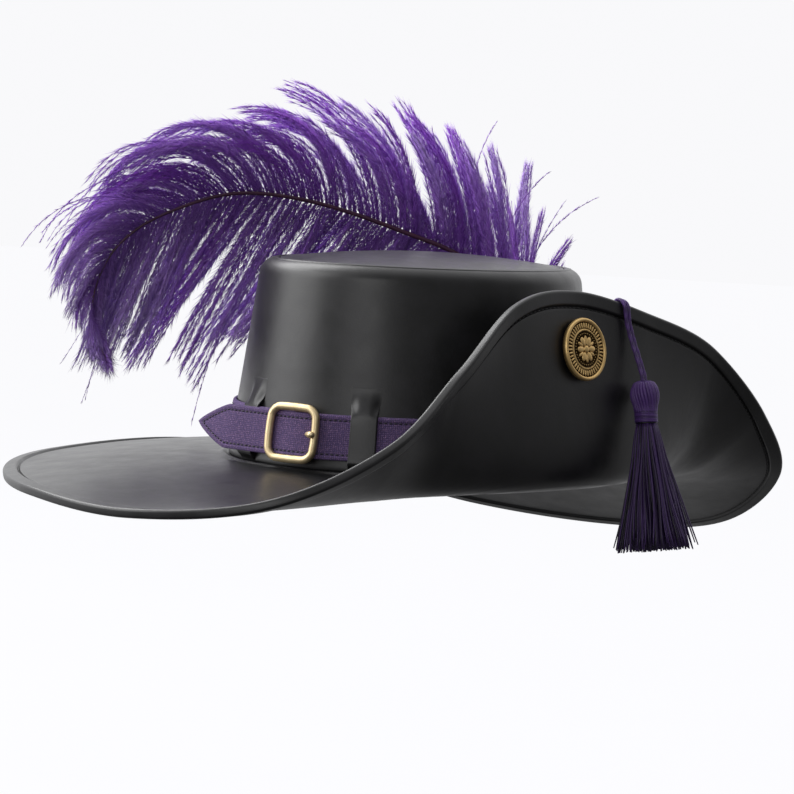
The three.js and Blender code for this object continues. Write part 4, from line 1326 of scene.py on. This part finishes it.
class HAT_OT_strap(Operator):
    """Model the woven strap with its raised border, its point and its stitches"""

    bl_idname = "hat.strap"
    bl_label = "Strap"

    def execute(self, context):
        strap = hat().strap
        turns, past, off = strap_stations()
        tip = strap.buckle_width / 2 + strap.end
        half, spread = self.outline(past, tip)
        middle = strap.lift + strap.width / 2
        across = np.sin(np.linspace(-1, 1, 41) * math.pi / 2) * half[:, None]
        inside = (half[:, None] - np.abs(across)) / spread[:, None]
        round_edge = np.sqrt(np.clip(1 - (1 - np.clip(inside / (0.7 * MM), 0, 1))**2, 0, 1))
        bead = 0.22 * MM * np.exp(-((inside - 1.5 * MM) / (0.8 * MM))**2)
        groove = 0.35 * MM * np.exp(-((inside - strap.stitch_inset) / (0.45 * MM))**2)
        stand = strap.wall * (0.5 + 0.5 * round_edge) + (bead - groove) * round_edge
        top = wall_point(turns[:, None], middle + across, off[:, None] + stand)
        under_stand = strap.wall * 0.5 * (1 - round_edge)
        below = wall_point(turns[:, None], middle + across, off[:, None] + under_stand)
        rings = np.concatenate([top, below[:, ::-1][:, 1:-1]], 1)
        line = wall_point(turns, middle, off)
        run = np.concatenate([[0], np.cumsum(np.linalg.norm(np.diff(line, axis=0), axis=1))])
        wide = np.concatenate([across, across[:, ::-1][:, 1:-1]], 1)
        uv = np.stack([np.repeat(run[:, None], wide.shape[1], 1), wide], -1)
        band = bar_piece("strap_webbing", rings, uv.reshape(-1, 2))
        show(band, "strap", finish_of(woven_strap), "hat_strap")
        self.add_stitches(strap, turns, past, off, run, tip)
        return {"FINISHED"}

    def outline(self, past, tip):
        """Half the strap's width, which runs to a curved point, and how far that line slants."""
        strap = hat().strap
        left = np.clip((tip - past) / strap.point, 0.004, 1)
        half = strap.width / 2 * (1 - (1 - left)**1.2)
        slope = strap.width / 2 / strap.point * 1.2 * (1 - left)**0.2
        return half, np.hypot(1, slope)

    def add_stitches(self, strap, turns, past, off, run, tip):
        """Two rows of dark stitches that follow the edges and meet in the strap's point."""
        tail = np.linspace(tip - 1.1 * strap.point, tip, 240)
        half, spread = self.outline(tail, tip)
        bent = half - strap.stitch_inset * spread
        free = past > -44 * MM
        bent_run = np.interp(tail, past[free], run[free])[bent > 0]
        where = np.concatenate([np.linspace(0, bent_run[0], 400)[:-1], bent_run])
        straight = np.full(399, strap.width / 2 - strap.stitch_inset)
        across = np.concatenate([straight, bent[bent > 0]])
        length = np.concatenate([[0], np.cumsum(np.hypot(np.diff(where), np.diff(across)))])
        count = int(length[-1] / strap.stitch_pitch)
        at = (np.arange(count)[:, None] + np.linspace(0.16, 0.84, 4)) / count * length[-1]
        along = np.interp(at, length, where)
        wide = np.interp(at, length, across)
        turn = np.interp(along, run, turns)
        stand = np.interp(along, run, off) + strap.wall - 0.1 * MM
        parts = []
        for side in (1, -1):
            paths = wall_point(turn, strap.lift + strap.width / 2 + side * wide, stand)
            parts.append(tubes(paths, STRAP_THREAD, 5, oval_normal(turn)))
        stitches = mesh_piece("strap_stitches", *join_sets(parts))
        show(stitches, "strap", sewing_thread("Dark Purple Thread", strap.thread))


class HAT_OT_keepers(Operator):
    """Model the leather keepers, whose ends blend into the crown"""

    bl_idname = "hat.keepers"
    bl_label = "Keepers"

    def execute(self, context):
        strap, plume = hat().strap, hat().plume
        places = {
            "keeper_front_left": strap.buckle_turn + strap.keeper_spread,
            "keeper_front_right": strap.buckle_turn - strap.keeper_spread,
            "keeper_back": plume.turn + strap.keeper_spread + 18,
        }
        for node, turn in places.items():
            self.add_keeper(node, turn)
        return {"FINISHED"}

    def add_keeper(self, node, turn):
        """A strip that rises over the strap and sinks into the wall, as rings up the wall."""
        strap = hat().strap
        top = strap.lift + strap.width
        held = SEAT * 2 + strap.wall
        z = np.concatenate([
            np.linspace(0.6 * MM, strap.lift, 16), np.linspace(strap.lift, top, 10)[1:-1],
            np.linspace(top, top + 14 * MM, 36)])
        risen = smoothstep(z, 0.5 * MM, strap.lift - 0.6 * MM) * (
            1 - smoothstep(z, top - 2 * MM, top + 14 * MM))
        face = ((held + strap.keeper_wall) * risen)[:, None]
        fade = smoothstep(z, top - 1 * MM, top + 7 * MM)[:, None]
        open_part = smoothstep(z, strap.lift - 1.6 * MM, strap.lift - 0.6 * MM) * (
            1 - smoothstep(z, top + 0.6 * MM, top + 1.8 * MM))
        back = -0.9 * MM + (held + 0.9 * MM) * open_part
        across = np.sin(np.linspace(-1, 1, 25) * math.pi / 2)
        half = strap.keeper_width / 2 * (1 + 0.18 * smoothstep(z, top, top + 8 * MM))[:, None]
        inside = (1 - np.abs(across)) * half
        edge = np.sqrt(np.clip(1 - (1 - np.clip(inside / (0.6 * MM), 0, 1))**2, 0, 1))
        turns = turn + across * half * turn_for(1.0, turn)
        bell = 1 - smoothstep(np.abs(across), 0.3, 1.0)
        shape = (face - 0.6 * MM * (1 - edge)) * (1 - fade) + face * bell * fade - 0.05 * MM
        outer = wall_point(turns, z[:, None], shape)
        inner = wall_point(turns, z[:, None], back[:, None] + 0 * edge)
        keeper = bar_piece(
            f"{node}_leather", np.concatenate([outer, inner[:, ::-1][:, 1:-1]], 1))
        show(keeper, "leather", finish_of(waxed_leather), node)


# Metal


def buckle_seat():
    """Where the buckle's frame lies, the way that it looks and how far it stands off."""
    leather, strap = hat().leather, hat().strap
    drop = (strap.buckle_width / 2)**2 / (2 * leather.half_width**2 / leather.half_length)
    off = SEAT * 3 + strap.wall * 2.35 + strap.buckle_wire / 2 - drop * 0.8
    way = oval_normal(strap.buckle_turn)
    way[2] = wall_slope()
    point = wall_point(strap.buckle_turn, strap.lift + strap.width / 2, off)
    return point, unit(way), off


class HAT_OT_buckle(Operator):
    """Model the buckle's rounded frame, its middle bar and the prong"""

    bl_idname = "hat.buckle"
    bl_label = "Buckle"

    def execute(self, context):
        strap = hat().strap
        point, way, off = buckle_seat()
        place = seat_matrix(point, way)
        place = place @ Matrix.Translation((-0.5 * MM, 0.7 * MM, 0))
        half_x = (strap.buckle_width * strap.buckle_fit - strap.buckle_band) / 2 - strap.buckle_bow
        half_y = (strap.buckle_height * strap.buckle_fit - strap.buckle_band) / 2
        frame_piece = self.add_frame(strap, half_x, half_y)
        back = SEAT + strap.buckle_bar / 2 - off
        line = np.array([
            (0, half_y, 0), (0, half_y - 0.6 * MM, back * 0.7), (0, half_y - 1.6 * MM, back),
            (0, 0, back), (0, -half_y + 1.6 * MM, back), (0, -half_y + 0.6 * MM, back * 0.7),
            (0, -half_y, 0)])
        bar = tube_piece(
            "bar", smooth_path(line, 30)[None], strap.buckle_bar / 2, 16, np.array([1.0, 0, 0]))
        buckle = joined("buckle_brass", [bar, frame_piece])
        settle(buckle, place)
        show(buckle, "brass", finish_of(satin_brass), "buckle_frame")
        self.add_prong(strap, half_x + strap.buckle_bow, place)
        return {"FINISHED"}

    def add_frame(self, strap, half_x, half_y):
        """A plane with rounded corners, whose outline is drawn as round wire."""
        pick_none()
        bpy.ops.mesh.primitive_plane_add(size=2)
        outline = bpy.context.object
        outline.scale = (half_x, half_y, 1)
        settle(outline)
        bpy.ops.object.mode_set(mode="EDIT")
        bpy.ops.mesh.select_all(action="SELECT")
        corner = strap.buckle_corner * 0.8 - strap.buckle_band / 2
        bpy.ops.mesh.bevel(offset=corner, segments=12, affect="VERTICES")
        bpy.ops.mesh.delete(type="ONLY_FACE")
        bpy.ops.mesh.select_all(action="SELECT")
        bpy.ops.mesh.subdivide(number_cuts=4)
        bpy.ops.object.mode_set(mode="OBJECT")
        for vertex in outline.data.vertices:
            x, y = vertex.co.x / half_x, vertex.co.y / half_y
            vertex.co.x += strap.buckle_bow * x * (1 - y * y)
            vertex.co.y += strap.buckle_bow * 0.5 * y * (1 - x * x)
        bpy.ops.object.convert(target="CURVE")
        wire = bpy.context.object
        wire.data.dimensions = "3D"
        wire.data.fill_mode = "FULL"
        wire.data.bevel_depth = strap.buckle_band / 2
        wire.data.bevel_resolution = 6
        bpy.ops.object.convert(target="MESH")
        wire = bpy.context.object
        wire.scale.z = strap.buckle_wire / strap.buckle_band
        settle(wire)
        wire.data.shade_smooth()
        return wire

    def add_prong(self, strap, side, place):
        """A short round-ended nub that comes through the strap and rests on the frame."""
        over = strap.buckle_wire / 2 + strap.prong_wire / 2 + SEAT
        past_frame = 0.9 * MM
        side += past_frame
        inside = side - strap.buckle_wire / 2 - strap.prong_wire
        line = np.array([
            (inside - 1.5 * MM, 0, -strap.buckle_wire * 0.12), (inside + 0.5 * MM, 0, over * 0.62),
            (side - 0.8 * MM, 0, over), (side + 1.0 * MM, 0, over - 0.1 * MM)])
        path = smooth_path(line, 26)
        share = np.linspace(0, 1, 27)
        radii = strap.prong_wire * np.interp(share, [0, 0.35, 0.75, 1], [0.25, 0.45, 0.7, 0.66])
        ends = np.sqrt(np.clip(1 - np.clip((share - 0.72) / 0.281, 0, 1)**2, 0.01, 1))
        prong = tube_piece("prong_brass", path[None], radii * ends, 16, np.array([0, 1.0, 0]))
        settle(prong, place)
        show(prong, "brass", finish_of(satin_brass), "buckle_prong")


def button_seat():
    """The leather's middle behind the button and the way that the button looks."""
    trim = hat().trim
    middle, upper, _out = brim_face(trim.button_round, trim.button_drop)
    return middle, -upper


class HAT_OT_button(Operator):
    """Model the brass button: rim, ribs, beads and a rosette, on its shank"""

    bl_idname = "hat.button"
    bl_label = "Button"

    def execute(self, context):
        leather, trim = hat().leather, hat().trim
        middle, outward = button_seat()
        radius, shank = trim.button_diameter / 2, 1.6 * MM
        back = 1.1 * MM
        under = -leather.brim_wall - SEAT
        rows = [
            (4.4 * MM, under - 1.4 * MM), (5 * MM, under - 1.1 * MM), (5 * MM, under - 0.1 * MM),
            (4.7 * MM, under), (shank, under), (shank, 0.3 * MM), (radius * 0.4, 0.3 * MM),
            (radius * 0.5, back * 0.8), (radius - 1.2 * MM, back),
            (radius - 0.4 * MM, back + 0.5 * MM), (radius, back + 1.2 * MM),
            (radius, back + 2.1 * MM), (radius - 0.25 * MM, back + 2.9 * MM),
            (radius - 0.8 * MM, back + 3.35 * MM), (radius - 1.4 * MM, back + 3.35 * MM),
            (radius - 1.9 * MM, back + 2.9 * MM), (radius - 2.2 * MM, back + 2.1 * MM),
            (radius * 0.8, back + 2.15 * MM), (radius * 0.66, back + 2.25 * MM),
            (radius * 0.63, back + 2.9 * MM), (radius * 0.6, back + 2.95 * MM),
            (radius * 0.57, back + 2.4 * MM), (radius * 0.4, back + 2.5 * MM),
            (radius * 0.2, back + 2.6 * MM), (radius * 0.04, back + 2.65 * MM)]
        parts = [self.turned(rows)]
        parts += self.add_ribs(trim, radius, back)
        parts += self.add_beads(radius, back)
        parts += self.add_rosette(radius, back)
        button = joined("button_brass", parts)
        co = np.empty(len(button.data.vertices) * 3)
        button.data.vertices.foreach_get("co", co)
        co = co.reshape(-1, 3)
        far = np.linalg.norm(co[:, :2], axis=1)
        floor = np.where(far > radius * 0.6, back + 2.1 * MM, back + 2.45 * MM)
        recess = 1 - np.clip((co[:, 2] - floor) / (0.7 * MM), 0, 1)
        recess[far > radius - 1.9 * MM] *= 0.25
        button.data.attributes.new("recess", "FLOAT", "POINT").data.foreach_set(
            "value", recess.astype(np.float32))
        settle(button, seat_matrix(middle + outward * leather.brim_wall / 2, outward))
        show(button, "old_brass", finish_of(antique_brass), "button")
        return {"FINISHED"}

    def turned(self, rows):
        """A disc drawn through rings of given radius and height, as on a lathe."""
        pick_none()
        bpy.ops.mesh.primitive_circle_add(vertices=96, radius=rows[0][0], fill_type="NGON")
        disc = bpy.context.object
        bpy.ops.object.mode_set(mode="EDIT")
        bpy.ops.mesh.select_all(action="SELECT")
        bpy.ops.transform.translate(value=(0, 0, rows[0][1]))
        for (near, low), (far, high) in zip(rows, rows[1:]):
            bpy.ops.mesh.extrude_region_move(TRANSFORM_OT_translate={"value": (0, 0, high - low)})
            if near != far:
                bpy.ops.transform.resize(
                    value=(far / near, far / near, 1), center_override=(0, 0, high))
        bpy.ops.mesh.select_all(action="SELECT")
        bpy.ops.mesh.normals_make_consistent(inside=False)
        bpy.ops.object.mode_set(mode="OBJECT")
        disc.data.shade_smooth()
        return disc

    def repeat(self, first, count, distance, height):
        """Copies of a small form in a ring, each with its own mesh."""
        made = []
        for number in range(count):
            copy = first.copy()
            copy.data = first.data.copy()
            bpy.context.scene.collection.objects.link(copy)
            angle = 2 * math.pi * number / count
            copy.data.transform(
                Matrix.Rotation(angle, 4, "Z") @ Matrix.Translation((distance, 0, height)))
            made.append(copy)
        bpy.data.objects.remove(first)
        return made

    def add_ribs(self, trim, radius, back):
        """Short radial bars between the rim and the inner ring."""
        pick_none()
        bpy.ops.mesh.primitive_cube_add(size=1)
        rib = bpy.context.object
        rib.scale = (radius * 0.17, 0.95 * MM, 1.1 * MM)
        settle(rib)
        add_modifier(rib, "BEVEL", width=0.28 * MM, segments=2)
        rib.data.shade_smooth()
        return self.repeat(rib, trim.button_ribs, radius * 0.755, back + 2.3 * MM)

    def add_beads(self, radius, back):
        """A ring of beads inside the inner ring."""
        pick_none()
        bpy.ops.mesh.primitive_uv_sphere_add(segments=10, ring_count=6, radius=0.42 * MM)
        bead = bpy.context.object
        bead.data.shade_smooth()
        return self.repeat(bead, 34, radius * 0.5, back + 2.55 * MM)

    def add_rosette(self, radius, back):
        """Six long petals over six short ones round a boss."""
        made = []
        for count, reach, long, wide, rise in (
                (6, 0.27, 0.16, 0.1, 2.85), (6, 0.31, 0.13, 0.055, 2.7)):
            pick_none()
            bpy.ops.mesh.primitive_uv_sphere_add(segments=16, ring_count=10, radius=1)
            petal = bpy.context.object
            petal.scale = (radius * long, radius * wide, 0.75 * MM)
            settle(petal)
            petal.data.shade_smooth()
            petals = self.repeat(petal, count, radius * reach, back + rise * MM)
            if made:
                for piece in petals:
                    piece.data.transform(Matrix.Rotation(math.pi / 6, 4, "Z"))
            made += petals
        pick_none()
        bpy.ops.mesh.primitive_uv_sphere_add(segments=20, ring_count=12, radius=1)
        boss = bpy.context.object
        boss.scale = (radius * 0.12, radius * 0.12, 1.1 * MM)
        boss.location = (0, 0, back + 2.8 * MM)
        settle(boss)
        boss.data.shade_smooth()
        return made + [boss]


class HAT_OT_anchor(Operator):
    """Model the leather disc that the cords begin under"""

    bl_idname = "hat.anchor"
    bl_label = "Cord Anchor"

    def execute(self, context):
        leather, trim = hat().leather, hat().trim
        middle, upper, _out = brim_face(
            trim.cord_round - 0.3 * trim.cord_slant,
            trim.cord_tail + trim.anchor_diameter / 2 + SEAT)
        point = middle + upper * (leather.brim_wall / 2 + SEAT + trim.anchor_wall / 2)
        pick_none()
        bpy.ops.mesh.primitive_cylinder_add(
            vertices=48, radius=trim.anchor_diameter / 2, depth=trim.anchor_wall)
        disc = bpy.context.object
        disc.name = "anchor_leather"
        add_modifier(disc, "BEVEL", width=0.4 * MM, segments=3, limit_method="ANGLE")
        disc.data.shade_smooth()
        settle(disc, seat_matrix(point, upper))
        show(disc, "leather", finish_of(waxed_leather), "cord_anchor")
        count = 14
        angle = (np.arange(count)[:, None] + np.linspace(0.2, 0.8, 4)) * 2 * math.pi / count
        reach = trim.anchor_diameter / 2 - 1.1 * MM
        ring = np.stack([
            reach * np.cos(angle), reach * np.sin(angle), trim.anchor_wall / 2 + 0 * angle], -1)
        stitches = tube_piece("anchor_stitches", ring, HEM_THREAD, 5, np.array([0, 0, 1.0]))
        settle(stitches, seat_matrix(point, upper))
        show(stitches, "leather", sewing_thread("Anchor Thread", "#141416"))
        return {"FINISHED"}


# Plume


def shaft_line(steps):
    """The plume's shaft from behind the strap to its tip."""
    leather, strap, plume = hat().leather, hat().strap, hat().plume
    seat = 2 * SEAT + plume.quill / 2
    low = wall_point(plume.turn, strap.lift - 2 * MM, seat)
    high = wall_point(plume.turn, strap.lift + strap.width + 3 * MM, seat)
    rows = SHAFT_ROWS * (leather.half_width, leather.half_length, leather.height)
    return smooth_path([low, high, *rows], steps)


class HAT_OT_plume(Operator):
    """Model the ostrich plume: its shaft, its barbs and their soft barbules"""

    bl_idname = "hat.plume"
    bl_label = "Plume"

    def execute(self, context):
        plume = hat().plume
        shaft = shaft_line(160)
        radii = np.linspace(plume.quill, plume.tip, 161) / 2
        radii[-3:] *= (0.8, 0.5, 0.2)
        stem = tube_piece("plume_shaft", shaft[None], radii, 10, np.array([0.62, -0.3, 0.1]))
        show(stem, "feather", dyed_quill(), "plume")
        rng = np.random.default_rng(5)
        for side, sign in (("above", 1), ("below", -1)):
            paths, flat, keep = self.barb_paths(rng, shaft, side, sign)
            groups = np.array_split(np.arange(len(paths)), 2)
            for part, group in zip(("rear", "front"), groups):
                name = f"plume_{'upper' if sign > 0 else 'lower'}_{part}"
                self.add_barbs(rng, name, paths[group], flat[group], keep[group])
        return {"FINISHED"}

    def barb_paths(self, rng, shaft, side, sign):
        """Centrelines of the barbs on one side, gathered into locks towards their tips."""
        plume = hat().plume
        count, steps = plume.barbs, 15
        run = np.linspace(0, 1, len(shaft))
        at = np.interp(np.linspace(0, 1, count), [0, 0.4, 1], [BARB_ROWS[0, 0], 0.38, 0.995])
        at += rng.normal(0, 0.0012, count)
        at = np.clip(at, 0, 1)
        tangents = unit(np.gradient(shaft, axis=0))
        root = np.stack([np.interp(at, run, shaft[:, axis]) for axis in range(3)], -1)
        ahead = unit(np.stack([np.interp(at, run, tangents[:, axis]) for axis in range(3)], -1))
        away = unit(np.stack([ahead[:, 1], -ahead[:, 0], 0 * at], -1))
        above = np.cross(ahead, away)
        above *= np.sign(above[:, 2:3])
        read = {
            key: np.interp(at, BARB_ROWS[:, 0], BARB_ROWS[:, column])
            for column, key in enumerate(BARB_COLUMNS)}

        lock_sizes = rng.integers(5, 12, count)
        lock = np.repeat(np.arange(count), lock_sizes)[:count]
        locks = lock.max() + 1
        lift = rng.normal(0, 1, locks)[lock]
        loose = read["loose"]
        sway = rng.normal(0, plume.sway, locks)[lock] * (0.7 + 0.9 * loose)
        sway += rng.normal(0, plume.sway * 0.35, count)
        stray = rng.uniform(0, 1, count) < 0.03 + 0.05 * loose
        sway += stray * rng.normal(0, 16, count)
        length = plume.barb_length * read[side] * (
            1 + rng.normal(0, 0.08, locks)[lock] + rng.normal(0, 0.05, count)
            + stray * rng.uniform(0.0, 0.3, count))
        first = read[f"{side}_from"] + (
            rng.normal(0, 5, locks)[lock] * loose + rng.normal(0, 3, count))
        last = (
            read[f"{side}_to"] + lift * 12 * loose + rng.normal(0, 4, count)
            + stray * (rng.normal(4, 14, count) + (loose > 0.85) * rng.uniform(0, 90, count)))
        share = np.linspace(0, 1, steps)
        curl = share**1.15
        angle = np.radians(first[:, None] + (last - first)[:, None] * curl)
        tilt = np.radians(sway)[:, None] * (0.5 + 0.5 * share)
        outward = (
            sign * above[:, None] * np.cos(tilt)[..., None]
            + away[:, None] * np.sin(tilt)[..., None])
        way = ahead[:, None] * np.cos(angle)[..., None] + outward * np.sin(angle)[..., None]
        step = (length / (steps - 1))[:, None, None]
        paths = root[:, None] + np.concatenate(
            [np.zeros((count, 1, 3)), np.cumsum((way[:, 1:] + way[:, :-1]) / 2, axis=1)], 1) * step
        # All barbs sag, and what rises over the plume's top is pressed down to it
        sag, pressed = 0.04, 0.85
        paths[:, :, 2] -= sag * share**2 * length[:, None]
        top = hat().leather.height * 2.07
        paths[:, :, 2] -= pressed * np.clip(paths[:, :, 2] - top, 0, None)

        guide = np.array([paths[lock == number].mean(0) for number in range(locks)])
        pull = np.where(stray, 0.1, rng.uniform(0.35, 0.8, locks)[lock] * (0.25 + 0.75 * loose))
        pull = pull[:, None, None]
        paths += (guide[lock] - paths) * pull * share[None, :, None]**1.6
        flat = unit(np.cross(ahead, outward[:, 0]))
        # Painted light and shade: dark above the middle of the shaft, pale below it and towards
        # the tip
        paler = np.interp(at, [0.25, 0.45, 0.6, 0.8], [-0.05, -0.4, -0.25, 0.25])
        paler += 0.5 if sign < 0 else 0.0
        strand = np.clip(
            rng.normal(0.5, 0.22, locks)[lock] + rng.normal(0, 0.15, count) + paler, 0, 1)
        return paths, flat, strand - STRAY_MARK * stray

    def add_barbs(self, rng, name, paths, flat, strand):
        """Barbs as fine tapered bars, with barbules along them."""
        plume = hat().plume
        count, steps = paths.shape[:2]
        share = np.linspace(0, 1, steps)
        stray = strand < 0
        strand = np.where(stray, strand + STRAY_MARK, strand)
        taper = np.interp(share, [0, 0.2, 1], [1.25, 1.0, 0.25])
        radii = plume.barb_width / 2 * taper * np.where(stray, 0.8, 1.0)[:, None]
        sides = 3
        points, faces = tubes(paths, radii, sides, flat[:, None])
        along = np.tile(np.repeat(share, sides), count)
        # Each barb's tone carries painted light and shade by its place on the plume
        shade = np.repeat(strand, steps * sides)
        slivers, place, barb = self.barbules(rng, paths, flat, stray)
        first = (len(points) + np.arange(len(barb)) * 4)[:, None, None]
        sliver_faces = np.array([(0, 1, 2), (0, 3, 1), (1, 3, 2), (2, 3, 0)])
        triangles = (first + sliver_faces).reshape(-1, 3)
        # Each barbule's tip is paler: painted light shining through its thin end
        sliver_along = np.repeat(place, 4) + np.tile([0.0, 0, 0, 0.25], len(barb))
        tones = {
            "along": np.concatenate([along, sliver_along]),
            "strand": np.concatenate([shade, np.repeat(strand[barb], 4)]),
        }
        vane = mesh_piece(
            name, np.concatenate([points, slivers]), [*faces, triangles], tones=tones)
        show(vane, "feather", finish_of(dyed_feather), "plume")

    def barbules(self, rng, paths, flat, stray):
        """Soft barbules as pointed slivers of four corners each: their points, their places
        along their barbs and the numbers of those barbs."""
        plume = hat().plume
        count, steps = paths.shape[:2]
        length = np.linalg.norm(np.diff(paths, axis=1), axis=2).sum(1)
        number = np.maximum((length / plume.barbule_pitch).astype(int), 8)
        barb = np.repeat(np.arange(count), number)
        total = len(barb)
        at = np.clip(rng.uniform(0.01, 1, total)**1.2, 0, 0.999) * (steps - 1)
        low = np.floor(at).astype(int)
        part = (at - low)[:, None]
        base = paths[barb, low] * (1 - part) + paths[barb, low + 1] * part
        way = unit(paths[barb, low + 1] - paths[barb, low])
        side = unit(np.cross(way, flat[barb]))
        place = at / (steps - 1)
        lean = np.radians(rng.normal(0, 34, total))[:, None]
        hand = rng.choice([-1.0, 1.0], total)[:, None]
        outward = side * hand * np.cos(lean) + flat[barb] * np.sin(lean)
        slant = np.radians(
            np.interp(place, [0, 0.5, 1], [30, 18, 8]) + rng.normal(0, 6, total))[:, None]
        aim = way * np.cos(slant) + outward * np.sin(slant)
        reach = plume.barbule_length * (
            np.interp(place, [0, 0.1, 0.7, 1], [0.6, 0.9, 1.0, 0.7]) * rng.uniform(0.5, 1.2, total)
            * np.where(stray[barb], 0.4, 1.0))
        tip = base + aim * reach[:, None]
        half = plume.barbule_width / 2
        cross = unit(np.cross(aim, flat[barb]))
        thick = unit(np.cross(aim, cross)) * half * 0.35
        corners = [base + cross * half - thick, base - cross * half - thick, base + thick]
        return np.stack([*corners, tip], 1).reshape(-1, 3), place, barb


class HAT_PT_sidebar(Panel):
    """Lists the hat's pieces in the 3D view's sidebar"""

    bl_label = "Cavalier Hat"
    bl_idname = "HAT_PT_sidebar"
    bl_space_type = "VIEW_3D"
    bl_region_type = "UI"
    bl_category = "Hat"

    def draw(self, context):
        column = self.layout.column()
        for operator in OPERATORS:
            column.operator(operator.bl_idname)


OPERATORS = (
    HAT_OT_stage,
    HAT_OT_cords,
    HAT_OT_crown,
    HAT_OT_brim,
    HAT_OT_strap,
    HAT_OT_keepers,
    HAT_OT_buckle,
    HAT_OT_button,
    HAT_OT_anchor,
    HAT_OT_plume,
)
GROUPS = (HatLeather, HatStrap, HatTrim, HatPlume, HatStage, CavalierHat)


def register():
    """Makes the settings, operators and panel known to Blender."""
    for kind in (*GROUPS, *OPERATORS, HAT_PT_sidebar):
        bpy.utils.register_class(kind)
    bpy.types.Scene.cavalier_hat = PointerProperty(type=CavalierHat)


def unregister():
    """Takes the settings, operators and panel out again."""
    del bpy.types.Scene.cavalier_hat
    for kind in (HAT_PT_sidebar, *reversed(OPERATORS), *reversed(GROUPS)):
        bpy.utils.unregister_class(kind)


def main():
    """Builds the scene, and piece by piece."""
    register()
    bpy.ops.hat.stage()
    bpy.ops.hat.cords()
    bpy.ops.hat.crown()
    bpy.ops.hat.brim()
    bpy.ops.hat.strap()
    bpy.ops.hat.keepers()
    bpy.ops.hat.buckle()
    bpy.ops.hat.button()
    bpy.ops.hat.anchor()
    bpy.ops.hat.plume()


if __name__ == "__main__":
    main()
